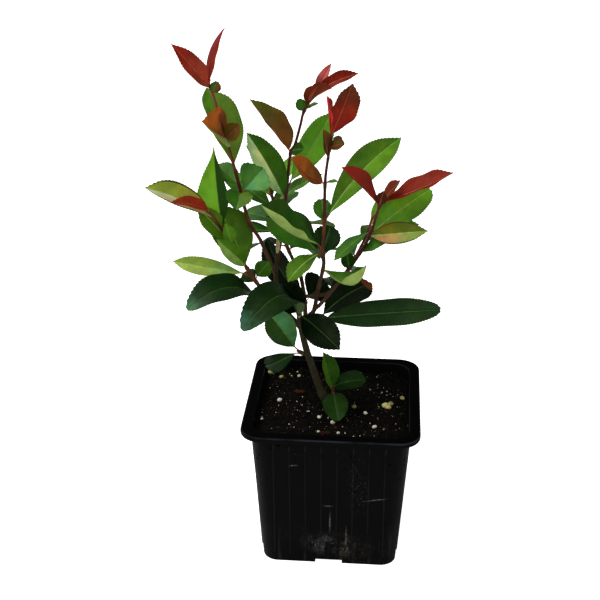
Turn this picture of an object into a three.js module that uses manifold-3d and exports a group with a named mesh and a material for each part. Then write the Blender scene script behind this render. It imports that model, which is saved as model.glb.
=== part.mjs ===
// A young photinia: an evergreen shrub with red new growth, in a small square nursery pot of black plastic.
// Millimetres, +Z up. The origin is the middle of the pot's underside, and the front faces -Y.
import * as THREE from "three";
import { mergeVertices } from "three/addons/utils/BufferGeometryUtils.js";
import Module from "manifold-3d";

const wasm = await Module();
wasm.setup();

// ---- Driving dimensions ----

const GAP = 0.3; // between neighbouring solids

const POT = {
  rim: 90, // across the lip, outside
  height: 80.9,
  wallTop: 80.3, // across the wall, outside, under the lip
  base: 69.8,
  wall: 1.1,
  floor: 1.4,
  lip: 3, // how far the lip's skirt hangs
  rimCorner: 11,
  wallCorner: 8,
  bevel: 0.6,
};
const RIB = { perSide: 8, pitch: 8, wide: 1.2, proud: 0.4, from: 6, to: 75 };
const SLOT = { wide: 14, high: 2.3, deep: 6 }; // drain slot in the foot of each side
const DRAIN = { radius: 4, offset: 18, sides: 16 };
const COMPOST = { top: 76, shoulder: 0.7, shoulderWide: 7, edgeDrop: 2.2 };
const GROUND = COMPOST.top + GAP; // the flat cut under the trunk

const FLARE = { swell: 0.35, height: 3.2 }; // root flare: share of the radius, and how high it fades
const COLLAR = 0.55; // share of its radius at which a limb or a twig starts beside its parent
const LIMB = { sides: 8, step: 5 };
const TWIG = { sides: 5, step: 9 };

// ---- Materials ----

const MATERIALS = {
  plastic: new THREE.MeshStandardMaterial({ color: 0x0d0e10, roughness: 0.42, metalness: 0 }),
  compost: new THREE.MeshStandardMaterial({ color: 0x1c1512, roughness: 1, metalness: 0 }),
  bark: new THREE.MeshStandardMaterial({ color: 0x5c4d3b, roughness: 0.85, metalness: 0 }),
  young: new THREE.MeshStandardMaterial({ color: 0x8c2a1c, roughness: 0.45, metalness: 0 }),
  grown: new THREE.MeshStandardMaterial({ color: 0x4c7a22, roughness: 0.4, metalness: 0 }),
  old: new THREE.MeshStandardMaterial({ color: 0x17301a, roughness: 0.35, metalness: 0 }),
};

// ---- Solids ----

function vec(x, y, z) {
  return new THREE.Vector3(x, y, z);
}

// A closed surface through rings of equal count, each counter-clockwise about the way the rings run.
// A last ring of one point closes it to a tip.
function loft(rings) {
  const sides = rings[0].length;
  const positions = rings.flat().flatMap((p) => [p.x, p.y, p.z]);
  const faces = [];
  for (let k = 1; k < sides - 1; k++) faces.push(0, k + 1, k);
  for (let i = 0; i < rings.length - 1; i++) {
    const here = i * sides;
    const next = here + sides;
    const pointed = rings[i + 1].length === 1;
    for (let k = 0; k < sides; k++) {
      const j = (k + 1) % sides;
      if (pointed) {
        faces.push(here + k, here + j, next);
      } else {
        faces.push(here + k, here + j, next + j, here + k, next + j, next + k);
      }
    }
  }
  const last = (rings.length - 1) * sides;
  if (rings.at(-1).length > 1) {
    for (let k = 1; k < sides - 1; k++) faces.push(last, last + k, last + k + 1);
  }
  const geometry = new THREE.BufferGeometry();
  geometry.setAttribute("position", new THREE.Float32BufferAttribute(positions, 3));
  geometry.setIndex(faces);
  return geometry;
}

function solid(geometry) {
  const bare = geometry.clone();
  bare.deleteAttribute("normal");
  bare.deleteAttribute("uv");
  const merged = mergeVertices(bare);
  const vertProperties = new Float32Array(merged.attributes.position.array);
  const triVerts = new Uint32Array(merged.index.array);
  return new wasm.Manifold(new wasm.Mesh({ numProp: 3, vertProperties, triVerts }));
}

function mesh(name, shape, material) {
  const made = shape.getMesh();
  const geometry = new THREE.BufferGeometry();
  geometry.setAttribute("position", new THREE.Float32BufferAttribute(made.vertProperties, 3));
  geometry.setIndex(Array.from(made.triVerts));
  geometry.computeVertexNormals();
  const object = new THREE.Mesh(geometry, material);
  object.name = name;
  return object;
}

// ---- Pot and compost ----

const CORNER_STEPS = 4; // segments in each round corner

// A level square with round corners, counter-clockwise from above.
function squareRing(half, corner, z) {
  const ring = [];
  for (let side = 0; side < 4; side++) {
    const middle = Math.PI / 4 + (side * Math.PI) / 2;
    const inset = half - corner;
    const cx = Math.SQRT2 * inset * Math.cos(middle);
    const cy = Math.SQRT2 * inset * Math.sin(middle);
    for (let k = 0; k <= CORNER_STEPS; k++) {
      const angle = middle + (k / CORNER_STEPS - 0.5) * (Math.PI / 2);
      ring.push(vec(cx + corner * Math.cos(angle), cy + corner * Math.sin(angle), z));
    }
  }
  return ring;
}

// Half the pot's outside width at a height, along the tapered wall.
function wallHalf(z) {
  return THREE.MathUtils.lerp(POT.base, POT.wallTop, z / (POT.height - POT.lip)) / 2;
}

function buildPot() {
  const top = POT.height;
  const plate = top - POT.wall; // underside of the lip
  const rim = POT.rim / 2;
  const outside = (z, inset = 0) => squareRing(wallHalf(z) - inset, POT.wallCorner - inset, z);
  let pot = solid(
    loft([
      outside(0, POT.bevel),
      outside(POT.bevel),
      outside(plate),
      squareRing(rim - POT.wall, POT.rimCorner - POT.wall, plate),
      squareRing(rim - POT.wall, POT.rimCorner - POT.wall, top - POT.lip),
      squareRing(rim, POT.rimCorner, top - POT.lip),
      squareRing(rim, POT.rimCorner, top - POT.bevel),
      squareRing(rim - POT.bevel, POT.rimCorner - POT.bevel, top),
      squareRing(wallHalf(top) - POT.wall, POT.wallCorner - POT.wall, top),
      outside(POT.floor, POT.wall),
    ]),
  );
  for (let side = 0; side < 4; side++) {
    const turn = (side * Math.PI) / 2;
    for (let k = 0; k < RIB.perSide; k++) {
      const along = (k - (RIB.perSide - 1) / 2) * RIB.pitch;
      pot = pot.add(solid(rib(along).rotateZ(turn)));
    }
    const slot = new THREE.BoxGeometry(SLOT.wide, SLOT.deep, 2 * SLOT.high);
    slot.translate(0, -wallHalf(0), 0).rotateZ(turn);
    pot = pot.subtract(solid(slot));
    const hole = new THREE.CylinderGeometry(DRAIN.radius, DRAIN.radius, 4 * POT.floor, DRAIN.sides);
    hole.rotateX(Math.PI / 2).translate(DRAIN.offset, -DRAIN.offset, 0).rotateZ(turn);
    pot = pot.subtract(solid(hole));
  }
  return pot;
}

// One slim upright rib on the front wall, half sunk into it.
function rib(along) {
  const sunk = POT.wall / 2;
  const section = (z) => {
    const face = -wallHalf(z);
    const half = RIB.wide / 2;
    return [
      vec(along - half, face - RIB.proud, z),
      vec(along + half, face - RIB.proud, z),
      vec(along + half, face + sunk, z),
      vec(along - half, face + sunk, z),
    ];
  };
  return loft([section(RIB.from), section(RIB.to)]);
}

function buildCompost() {
  const clear = POT.wall + GAP;
  const ring = (z, inset) =>
    squareRing(wallHalf(z) - clear - inset, POT.wallCorner - POT.wall, z);
  const { top, shoulder, shoulderWide, edgeDrop } = COMPOST;
  return solid(
    loft([
      ring(POT.floor + GAP, 0),
      ring(top - edgeDrop, 0),
      ring(top - shoulder, shoulder),
      ring(top, shoulderWide),
    ]),
  );
}

// ---- Wood ----

// The direction at a compass turn (0 along +X, 90 to the back) and a rise above the level, in degrees.
function heading({ turn, rise }) {
  const t = THREE.MathUtils.degToRad(turn);
  const r = THREE.MathUtils.degToRad(rise);
  return vec(Math.cos(r) * Math.cos(t), Math.cos(r) * Math.sin(t), Math.sin(r));
}

// A limb or a twig: a smooth line through its bends, with a radius that tapers from thick to thin.
class Stem {
  constructor(points, thick, thin) {
    this.curve = new THREE.CatmullRomCurve3(points, false, "catmullrom", 0.5);
    this.length = this.curve.getLength();
    this.thick = thick;
    this.thin = thin;
  }

  radius(share) {
    return THREE.MathUtils.lerp(this.thick, this.thin, share);
  }

  point(share) {
    return this.curve.getPointAt(share);
  }

  tangent(share) {
    return this.curve.getTangentAt(share);
  }

  // Where a twig of some thickness starts: its foot is a disc square to its way, GAP clear of this stem's
  // skin, or GAP clear of this stem's end where the share is 1.
  seat(share, way, thick) {
    const tangent = this.tangent(share);
    const along = heading(way);
    const angle = along.angleTo(tangent);
    const foot = COLLAR * thick;
    if (share === 1) return this.point(1).addScaledVector(tangent, GAP + foot * Math.sin(angle));
    const side = this.radius(share) + GAP + foot * Math.abs(Math.cos(angle));
    return this.point(share).addScaledVector(along, side / Math.sin(angle));
  }

  rings({ sides, step }, foot) {
    const count = Math.max(2, Math.round(this.length / step));
    const across = Math.abs(this.tangent(0).x) < 0.8 ? vec(1, 0, 0) : vec(0, 1, 0);
    const shares = [...Array(count + 1).keys()].map((k) => k / count);
    if (foot === "collar") shares.splice(1, 0, this.thick / this.length);
    return shares.map((share, i) => {
      const level = foot === "ground" && i === 0;
      const along = level ? vec(0, 0, 1) : this.tangent(share);
      const u = across.clone().addScaledVector(along, -across.dot(along)).normalize();
      const v = along.clone().cross(u);
      const radius = this.radius(share) * this.swell(share, i, foot);
      const centre = this.point(share);
      return [...Array(sides).keys()].map((k) => {
        const angle = (2 * Math.PI * k) / sides;
        return centre
          .clone()
          .addScaledVector(u, radius * Math.cos(angle))
          .addScaledVector(v, radius * Math.sin(angle));
      });
    });
  }

  swell(share, i, foot) {
    if (foot === "ground") return 1 + FLARE.swell * Math.exp((-share * this.length) / FLARE.height);
    return i === 0 ? COLLAR : 1;
  }

  solid(form, foot) {
    return solid(loft(this.rings(form, foot)));
  }
}

// The bends of each limb after its foot. The trunk leans left and ends in a pruned stub over its forks.
const trunk = new Stem(
  [
    vec(-4.3, 3.9, GROUND),
    vec(-7, 3.5, 81.5),
    vec(-11, 2.5, 94.5),
    vec(-14.5, 1.5, 106.5),
    vec(-16.8, 1, 116.5),
    vec(-18, 0.5, 125),
    vec(-18.3, 0, 130.5),
  ],
  2.1,
  1.4,
);

function branch(parent, share, way, bends, thick, thin) {
  const foot = parent.seat(share, way, thick);
  return new Stem([foot, ...bends.map(([x, y, z]) => vec(x, y, z))], thick, thin);
}

const boughLeft = branch(
  trunk,
  0.8,
  { turn: 175, rise: 50 },
  [
    [-21.8, 1, 124.5],
    [-26, 1, 130.5],
    [-30, 2, 145],
    [-29.3, 4, 158.5],
    [-29.2, 5, 167],
  ],
  1.35,
  1.05,
);

const boughRight = branch(
  trunk,
  0.88,
  { turn: -20, rise: 40 },
  [
    [-13, -2, 128],
    [-10.5, -3, 131.5],
    [-9.4, -4, 137.5],
    [-8.2, -5, 144.5],
  ],
  1.25,
  1,
);

const boughBack = branch(
  trunk,
  0.76,
  { turn: 90, rise: 45 },
  [
    [-15.8, 9, 122.5],
    [-17, 15, 132],
    [-19, 19, 141],
  ],
  1.25,
  1,
);

const LIMBS = { trunk, bough_left: boughLeft, bough_right: boughRight, bough_back: boughBack };

// ---- Leaves ----

// The bow of the blade, the fold of its halves in degrees and the stalk's length, by age.
const AGES = {
  bud: { bow: 0.04, fold: 24, stalk: 1 },
  young: { bow: 0.02, fold: 28, stalk: 1.5 },
  turning: { bow: 0.03, fold: 30, stalk: 2 },
  grown: { bow: 0.05, fold: 13, stalk: 3 },
  old: { bow: 0.11, fold: 11, stalk: 4 },
};

const AGE_OF = {
  brown: "bud",
  darkbrown: "bud",
  umber: "bud",
  red: "young",
  ruby: "young",
  scarlet: "young",
  crimson: "young",
  russet: "young",
  pink: "young",
  redbrown: "young",
  bronze: "turning",
  orange: "turning",
  pinkedge: "turning",
  olive: "turning",
  yellow: "turning",
  light: "grown",
  pale: "grown",
  mint: "grown",
  bright: "grown",
  mid: "grown",
  green: "grown",
  fresh: "grown",
  glossy: "grown",
  shiny: "grown",
  dgreen: "grown",
  dark: "grown",
  old: "old",
  curled: "old",
  deep: "old",
};

// How the width rises and falls along the blade: t^rise (1-t)^fall, scaled to 1 at its widest.
const OUTLINES = {
  leaf: { rise: 1.05, fall: 0.8 },
  oval: { rise: 0.62, fall: 0.55 },
  slim: { rise: 0.9, fall: 0.95 },
  ovate: { rise: 0.7, fall: 1 },
  lance: { rise: 1.2, fall: 2.4 },
  spoon: { rise: 1.2, fall: 0.65 },
  strap: { rise: 0.55, fall: 0.45 },
};
const BLUNT = ["oval", "strap"]; // the others end in a drawn-out point
const POINT = { from: 0.8, narrowed: 0.45 };

const BLADE_STATIONS = [0.1, 0.25, 0.42, 0.6, 0.76, 0.9];
const THICK = { least: 0.3, share: 0.008 }; // half the midrib's depth: at least, and by length
const STALK = { least: 0.35, share: 0.006 }; // radius of the leaf stalk: at least, and by length
const STALK_LEAN = 0.6; // how far the stalk leans along its stem before it turns out

function breadth(outline, t) {
  const { rise, fall } = OUTLINES[outline];
  const widest = rise / (rise + fall);
  const top = widest ** rise * (1 - widest) ** fall;
  const width = (t ** rise * (1 - t) ** fall) / top;
  if (BLUNT.includes(outline)) return width;
  const nearTip = THREE.MathUtils.clamp((t - POINT.from) / (1 - POINT.from), 0, 1);
  return width * (1 - POINT.narrowed * nearTip ** 2);
}

// A leaf sits at a share of its stem. Its midrib points along a compass turn and a rise, and roll turns
// the upper face about the midrib. Lengths and widths are of the blade.
function leaf(at, turn, rise, long, wide, roll, tint, more = {}) {
  return { at, turn, rise, long, wide, roll, tint, outline: "leaf", ...AGES[AGE_OF[tint]], ...more };
}

// The three directions of a leaf at rest: along the midrib, out of the upper face, and across.
function leafAxes({ turn, rise, roll }) {
  const along = heading({ turn, rise });
  const upright = heading({ turn, rise: rise + 90 });
  const level = upright.clone().cross(along);
  const q = THREE.MathUtils.degToRad(roll);
  const up = upright.clone().multiplyScalar(Math.cos(q)).addScaledVector(level, Math.sin(q));
  const side = level.clone().multiplyScalar(Math.cos(q)).addScaledVector(upright, -Math.sin(q));
  return { along, up, side };
}

// Where the stalk leaves the middle of the stem and where the blade starts.
function leafFoot(stem, row) {
  const root = stem.point(row.at);
  const lean = stem.tangent(row.at).multiplyScalar(STALK_LEAN).add(heading(row)).normalize();
  return { root, base: root.clone().addScaledVector(lean, row.stalk) };
}

// The midrib's point and the section's axes at a share t of the blade.
function midrib(base, { along, up, side }, row, t) {
  const point = base
    .clone()
    .addScaledVector(along, t * row.long)
    .addScaledVector(up, 4 * t * (1 - t) * row.bow * row.long);
  const normal = up.clone().addScaledVector(along, -4 * (1 - 2 * t) * row.bow).normalize();
  return { point, normal, side };
}

function diamond(centre, side, normal, halfWide, lift, halfDeep) {
  const edge = (sign) =>
    centre.clone().addScaledVector(side, sign * halfWide).addScaledVector(normal, lift);
  return [
    edge(1),
    centre.clone().addScaledVector(normal, halfDeep),
    edge(-1),
    centre.clone().addScaledVector(normal, -halfDeep),
  ];
}

function leafSolid(stem, row) {
  const axes = leafAxes(row);
  const { root, base } = leafFoot(stem, row);
  const stalk = STALK.least + STALK.share * row.long;
  const deep = Math.max(THICK.least, THICK.share * row.long);
  const fold = THREE.MathUtils.degToRad(row.fold);
  const start = midrib(base, axes, row, 0);
  const rings = [
    diamond(root, axes.side, start.normal, stalk, 0, stalk),
    diamond(base, axes.side, start.normal, stalk, 0, stalk),
  ];
  for (const t of BLADE_STATIONS) {
    const { point, normal, side } = midrib(base, axes, row, t);
    const half = (breadth(row.outline, t) * row.wide) / 2;
    rings.push(diamond(point, side, normal, half * Math.cos(fold), half * Math.sin(fold), deep));
  }
  rings.push([midrib(base, axes, row, 1).point]);
  return solid(loft(rings));
}

// ---- Seeded growth of the shoot at the back ----

class Dice {
  constructor(seed) {
    this.state = seed;
  }

  between(low, high) {
    this.state = (this.state * 16807) % 2147483647;
    return low + ((high - low) * this.state) / 2147483647;
  }
}

const SPIRAL = 137.5; // degrees from one leaf to the next up the stem

// How a seeded leaf changes from the foot of its stem to the tip, and how far each value may stray.
const GROWTH = {
  rise: { foot: -28, tip: 48, power: 1.4, stray: 8 },
  turn: { stray: 12 },
  roll: { stray: 25 },
  tipShare: 0.5, // a tip leaf's length beside a foot leaf's
  long: { least: 0.88, most: 1.08 },
  slimness: { least: 0.4, most: 0.48 }, // width by length
  tints: ["old", "dgreen", "green", "green", "mid", "bright"],
};

// Leaves in a spiral up a stem, drawn round toward its open side: long, dark and hanging below, short,
// bright and upright at the tip.
function spiral({ seed, from, count, open, spread, long }) {
  const dice = new Dice(seed);
  const stray = ({ stray }) => dice.between(-stray, stray);
  const within = ({ least, most }) => dice.between(least, most);
  const { rise, turn, roll, tipShare, slimness, tints } = GROWTH;
  return [...Array(count).keys()].map((k) => {
    const climb = k / (count - 1);
    const round = open + spread * (((k * SPIRAL) % 360) - 180) + stray(turn);
    const lift = THREE.MathUtils.lerp(rise.foot, rise.tip, climb ** rise.power) + stray(rise);
    const length = long * THREE.MathUtils.lerp(1, tipShare, climb) * within(GROWTH.long);
    const tint = tints[Math.floor(climb * (tints.length - 0.01))];
    const at = THREE.MathUtils.lerp(from, 1, climb);
    return leaf(at, round, lift, length, length * within(slimness), stray(roll), tint);
  });
}

// A leaf is kept where its midrib stays in the mass's space and passes clear of the limbs.
function keeps(stem, row, space) {
  const axes = leafAxes(row);
  const { base } = leafFoot(stem, row);
  const walk = [...BLADE_STATIONS, 1].map((t) => midrib(base, axes, row, t).point);
  const clearOf = (limb) =>
    limb.curve.getPoints(20).every((q) => walk.every((p) => p.distanceTo(q) > limb.thick + GAP));
  return walk.every((p) => space.containsPoint(p)) && Object.values(LIMBS).every(clearOf);
}

// ---- The masses of foliage ----

// Where a mass that names no space of its own may reach: above the compost, within the crown.
const OPEN_AIR = new THREE.Box3(vec(-95, -75, GROUND), vec(75, 80, 280));

const shootLeft = branch(
  boughLeft,
  0.6,
  { turn: 230, rise: 55 },
  [
    [-37, -4, 169],
    [-42.7, -6, 181],
    [-48.6, -8, 208],
    [-57.6, -8, 242.5],
    [-60.3, -8, 247],
  ],
  1,
  0.6,
);

const shootMiddle = branch(
  boughLeft,
  0.78,
  { turn: 80, rise: 50 },
  [
    [-27, 10, 172],
    [-25.5, 12, 189],
    [-23.6, 13, 208],
    [-21.3, 13, 213],
    [-18.6, 13, 223],
    [-17, 13, 229.5],
    [-12.5, 13, 238],
  ],
  1,
  0.6,
);

const shootCentre = branch(
  boughRight,
  1,
  { turn: -38, rise: 76 },
  [
    [-5.6, -7, 158],
    [-6, -8, 165.5],
    [-5.3, -9, 182.5],
    [-5, -10, 203],
    [-3.2, -12, 218],
    [-2.4, -12, 225.5],
  ],
  1,
  0.6,
);

const shootRight = branch(
  boughRight,
  0.45,
  { turn: 0, rise: 35 },
  [
    [-2.2, -4, 142],
    [7.6, -6, 157],
    [16, -8, 173],
    [20.3, -9, 188.5],
    [21.5, -9, 192],
  ],
  1,
  0.6,
);

const shootLowLeft = branch(
  boughLeft,
  0.22,
  { turn: 215, rise: 40 },
  [
    [-36.5, -5, 143],
    [-45, -10, 159.5],
    [-56.7, -17, 183.5],
    [-60.7, -18, 189.5],
  ],
  1,
  0.6,
);

const shootBackLeft = branch(
  boughBack,
  1,
  { turn: 150, rise: 58 },
  [
    [-26, 23, 154],
    [-32, 26, 170],
    [-35, 27, 185],
  ],
  1,
  0.6,
);

const shootBackRight = branch(
  boughBack,
  0.6,
  { turn: 30, rise: -5 },
  [
    [-5, 22, 130],
    [4, 32, 138],
    [12.5, 34, 154],
    [17, 34, 168],
  ],
  1,
  0.6,
);

const SPUR = { thick: 0.9, thin: 0.8 }; // short side twigs that carry the old leaves

function spur(parent, share, way, end) {
  return branch(parent, share, way, [end], SPUR.thick, SPUR.thin);
}

const spurLeft = spur(boughLeft, 0.17, { turn: -125, rise: 20 }, [-38, -9, 140]);
const spurFront = spur(trunk, 0.95, { turn: -100, rise: 20 }, [-18, -5, 130.5]);
const spurTrunk = spur(trunk, 0.52, { turn: -165, rise: 15 }, [-19.5, 1, 106.5]);
const spurRight = spur(boughRight, 0.3, { turn: 0, rise: -40 }, [-6.8, -1.5, 126.2]);
const spurBack = spur(boughBack, 0.42, { turn: 85, rise: -5 }, [-16.5, 17.5, 126]);
const sprout = new Stem([vec(0.4, 3, GROUND), vec(-0.4, 3.4, 79.5), vec(-0.6, 3.6, 84)], 0.8, 0.6);

const MASSES = [
  {
    name: "shoot_left",
    stem: shootLeft,
    look: "young",
    leaves: [
      leaf(0.97, -161, 51, 27, 11, 63, "red", { outline: "ovate", fold: 30, bow: 0 }),
      leaf(0.99, 37, 68, 26, 10, -139, "red", { outline: "ovate", fold: 35, bow: -0.13 }),
      leaf(0.95, -34, 62, 6, 6, -133, "green", { outline: "oval", fold: 24, bow: 0.04, stalk: 1 }),
      leaf(0.57, 126, 51, 41, 21, -10, "fresh", { fold: 20 }),
      leaf(0.73, -125, 37, 19, 24, 54, "orange", { outline: "ovate", bow: -0.04, stalk: 1 }),
      leaf(0.5, 130, 13, 19, 10, 25, "green", { outline: "oval", stalk: 1 }),
      leaf(0.45, 38, 37, 14, 17, -44, "glossy", { fold: 8 }),
      leaf(0.46, -90, -7, 17, 14, 11, "green", { outline: "oval", fold: 25, stalk: 1 }),
      leaf(0.73, -39, 42, 12, 9, -101, "umber", { outline: "oval" }),
    ],
  },
  {
    name: "shoot_middle",
    stem: shootMiddle,
    look: "grown",
    leaves: [
      leaf(0.61, 165, 49, 31, 21, 4, "bronze", { outline: "ovate", fold: 28, bow: 0 }),
      leaf(0.37, 38, 52, 39, 15, -65, "bright", { stalk: 6 }),
      leaf(0.99, -27, 29, 27, 8, -56, "ruby", { bow: 0.08 }),
      leaf(1, -20, 60, 17, 5, -88, "pink", { outline: "slim", fold: 20 }),
      leaf(0.9, -40, 37, 21, 11, -45, "brown", { fold: 35, bow: 0.08 }),
      leaf(0.92, -65, 42, 19, 7, -100, "brown", { fold: 35, bow: 0.08 }),
      leaf(0.88, -130, 61, 7, 5.5, 125, "green", { outline: "oval", stalk: 1 }),
      leaf(0.89, -35, 28, 9, 3.5, -35, "pale", { outline: "slim", stalk: 1 }),
      leaf(0.62, -39, 19, 8, 7, -54, "dgreen", { outline: "oval", stalk: 1 }),
      leaf(0.31, 163, 57, 36, 16, 49, "green", { outline: "slim", fold: 32, bow: 0.13 }),
    ],
  },
  {
    name: "shoot_centre",
    stem: shootCentre,
    look: "grown",
    leaves: [
      leaf(0.99, -23, 68, 27, 14, -136, "redbrown", { fold: 22 }),
      leaf(1, -102, 68, 21, 9, 81, "scarlet", { outline: "slim", bow: 0 }),
      leaf(0.92, -15, 20, 7, 9, -39, "umber", { bow: 0.1 }),
      leaf(0.86, -118, 72, 15, 8, 94, "umber", { outline: "slim", bow: 0 }),
      leaf(0.68, -133, 39, 25, 12, 63, "orange", { outline: "oval", fold: 28, bow: -0.09, stalk: 3 }),
      leaf(0.7, -35, 14, 7, 3.5, -17, "green", { outline: "slim", stalk: 1 }),
      leaf(0.45, 107, 51, 10.5, 9, 13, "green", { outline: "oval", stalk: 1.5 }),
      leaf(0.24, 68, 56, 13, 13.5, -23, "dark", { outline: "oval", stalk: 1.5 }),
      leaf(0.45, 33, 39, 51, 17, -30, "bright", { fold: 15, bow: 0.12, stalk: 5 }),
      leaf(0.25, -143, -32, 20, 12, 13, "mid", { bow: 0.1 }),
      leaf(0.26, -147, 40, 39, 25, 22, "dgreen", { fold: 40, bow: -0.09, stalk: 6 }),
      leaf(0.22, 160, 26, 31, 20, 29, "green", { fold: 11, bow: 0.11, stalk: 4 }),
      leaf(0.13, -34, 20, 27, 18, -8, "mid", { fold: 40, bow: -0.36, stalk: 1 }),
    ],
  },
  {
    name: "shoot_right",
    stem: shootRight,
    look: "grown",
    leaves: [
      leaf(0.97, -160, 47, 27, 13, 35, "crimson", { fold: 35 }),
      leaf(0.99, 2, 25, 36, 14, -16, "ruby", { bow: -0.03 }),
      leaf(0.99, -1, 52, 13, 8, -28, "brown", { bow: 0, stalk: 2 }),
      leaf(0.97, -70, 60, 10, 6, -150, "darkbrown", { bow: 0 }),
      leaf(0.73, 35, 25, 36, 17, -36, "bright", { outline: "oval" }),
      leaf(0.71, -38, 19, 35, 12, -73, "olive", { bow: 0.06 }),
      leaf(0.56, -29, 30, 15, 9, -34, "green", { fold: 20, stalk: 2 }),
      leaf(0.76, -153, -34, 21, 8, 17, "green", { stalk: 2 }),
      leaf(0.4, -109, 67, 11, 7, 153, "dgreen", { outline: "oval", stalk: 1 }),
    ],
  },
  {
    name: "shoot_low_left",
    stem: shootLowLeft,
    look: "grown",
    leaves: [
      leaf(0.91, -162, 29, 35, 14, 43, "yellow", { bow: 0.1 }),
      leaf(0.96, -134, 25, 24, 8, 48, "russet", { outline: "slim", fold: 35, bow: 0.12 }),
      leaf(0.77, 107, 60, 43, 21, 38, "dark", { outline: "lance", fold: 35, bow: 0.03 }),
      leaf(0.66, -168, 51, 23, 11, 58, "mid", { stalk: 2 }),
      leaf(0.42, 151, 60, 32, 21, 30, "mid", { stalk: 2 }),
      leaf(0.42, -125, 46, 28, 9, 99, "light", { fold: 25, stalk: 2 }),
      leaf(0.32, -179, 9, 35, 9.5, 66, "light", { fold: 20, stalk: 6 }),
      leaf(0.29, -13, 53, 11, 9, -91, "green"),
      leaf(0.27, 148, 19, 8, 9, 32, "dark", { stalk: 1 }),
      leaf(0.64, -101, 58, 16, 7, 141, "bright", { fold: 20, stalk: 2 }),
    ],
  },
  {
    name: "shoot_back_left",
    stem: shootBackLeft,
    look: "old",
    space: new THREE.Box3(vec(-85, 12, 115), vec(-2, 72, 215)),
    leaves: spiral({ seed: 8, from: 0.22, count: 16, open: 90, spread: 0.6, long: 47 }),
  },
  {
    name: "shoot_back_right",
    stem: shootBackRight,
    look: "old",
    leaves: [
      leaf(0.25, 100, -20, 38, 16, 10, "old"),
      leaf(0.35, 56, -33, 21, 16, -23, "old"),
      leaf(0.5, 89, -48, 37, 16, -78, "dgreen"),
      leaf(0.6, 110, -15, 33, 15, 10, "dgreen"),
      leaf(0.72, 75, -5, 30, 14, -10, "green"),
      leaf(0.82, 20, 5, 27, 12, -15, "green"),
      leaf(0.9, 60, 20, 24, 11, 0, "bright"),
      leaf(1, 10, 35, 20, 9, -20, "bright"),
      leaf(1, 43, 8, 17, 7, -37, "redbrown"),
    ],
  },
  {
    name: "spray_left",
    stem: spurLeft,
    look: "old",
    leaves: [
      leaf(1, -145, 4, 38, 19, 19, "curled", { outline: "oval", bow: 0.27, stalk: 1 }),
    ],
  },
  {
    name: "spray_front",
    stem: spurFront,
    look: "old",
    leaves: [
      leaf(1, -129, 6, 38, 21, 18, "curled", { outline: "oval", bow: 0.42, stalk: 2 }),
      leaf(0.3, -45, -15, 30, 16, -34, "deep", { stalk: 3 }),
      leaf(1, -164, 62, 18, 15, 87, "deep", { outline: "oval", stalk: 1.5 }),
    ],
  },
  {
    name: "spray_trunk",
    stem: spurTrunk,
    look: "old",
    leaves: [
      leaf(0.36, -126, 53, 36, 16, 109, "dgreen", { outline: "spoon", fold: 22, stalk: 5 }),
      leaf(0.1, 146, -35, 25, 10, 95, "old"),
    ],
  },
  {
    name: "spray_right",
    stem: spurRight,
    look: "old",
    leaves: [
      leaf(0.26, -15, 13, 59, 14.5, -47, "old", { outline: "strap", fold: 6, bow: 0.01, stalk: 6 }),
      leaf(0.26, 35, 20, 31, 20, -19, "deep"),
    ],
  },
  {
    name: "spray_back",
    stem: spurBack,
    look: "old",
    leaves: [
      leaf(1, -160, 62, 39, 16, 126, "deep"),
      leaf(1, 45, 27, 13, 20.5, -47, "deep"),
      leaf(1, 149, -16, 35, 17, 11, "old"),
    ],
  },
  {
    name: "sprout_foot",
    stem: sprout,
    foot: "ground",
    look: "grown",
    leaves: [
      leaf(0.49, 158, 75, 23, 12, 25, "green", { fold: 35, bow: 0, stalk: 1 }),
      leaf(1, -5, 17, 17, 12, -27, "dark", { outline: "oval", bow: 0.1, stalk: 1 }),
      leaf(0.57, -81, -8, 23, 13, -9, "dark", { outline: "oval" }),
    ],
  },
];

function buildMass({ stem, foot = "collar", space = OPEN_AIR, leaves }) {
  return leaves
    .filter((row) => keeps(stem, row, space))
    .reduce((mass, row) => mass.add(leafSolid(stem, row)), stem.solid(TWIG, foot));
}

// ---- The whole plant in its pot ----

const plant = new THREE.Group();
plant.add(mesh("pot", buildPot(), MATERIALS.plastic));
plant.add(mesh("compost", buildCompost(), MATERIALS.compost));
for (const [name, limb] of Object.entries(LIMBS)) {
  const foot = name === "trunk" ? "ground" : "collar";
  plant.add(mesh(name, limb.solid(LIMB, foot), MATERIALS.bark));
}
for (const mass of MASSES) {
  plant.add(mesh(mass.name, buildMass(mass), MATERIALS[mass.look]));
}

export default plant;
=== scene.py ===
# %% [markdown]
# # A young photinia in its nursery pot
#
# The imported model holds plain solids: a pot, its compost, a trunk with three boughs and thirteen masses of
# foliage. This lesson gives each of them the looks of the real plant. The limbs and the leaves grow again
# from the same named sizes as the solids, so every leaf lies where its solid lies, and each one gets what
# the solid leaves out: teeth along its margin, a sunken midrib, a stalk and a bud.
#
# Lengths are in millimetres, as a grower would give them. They become metres in one place, where a mesh is
# made.

# %% Load the frame
import math

import bpy
import numpy as np
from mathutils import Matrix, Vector, noise


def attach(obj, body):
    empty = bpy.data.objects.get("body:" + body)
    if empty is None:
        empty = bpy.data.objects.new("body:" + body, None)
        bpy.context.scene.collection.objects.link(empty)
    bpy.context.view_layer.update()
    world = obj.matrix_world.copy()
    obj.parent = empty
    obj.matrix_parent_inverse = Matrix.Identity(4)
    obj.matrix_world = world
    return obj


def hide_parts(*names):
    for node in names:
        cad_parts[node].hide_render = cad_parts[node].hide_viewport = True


MM = 0.001
BODY = "root"

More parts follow.
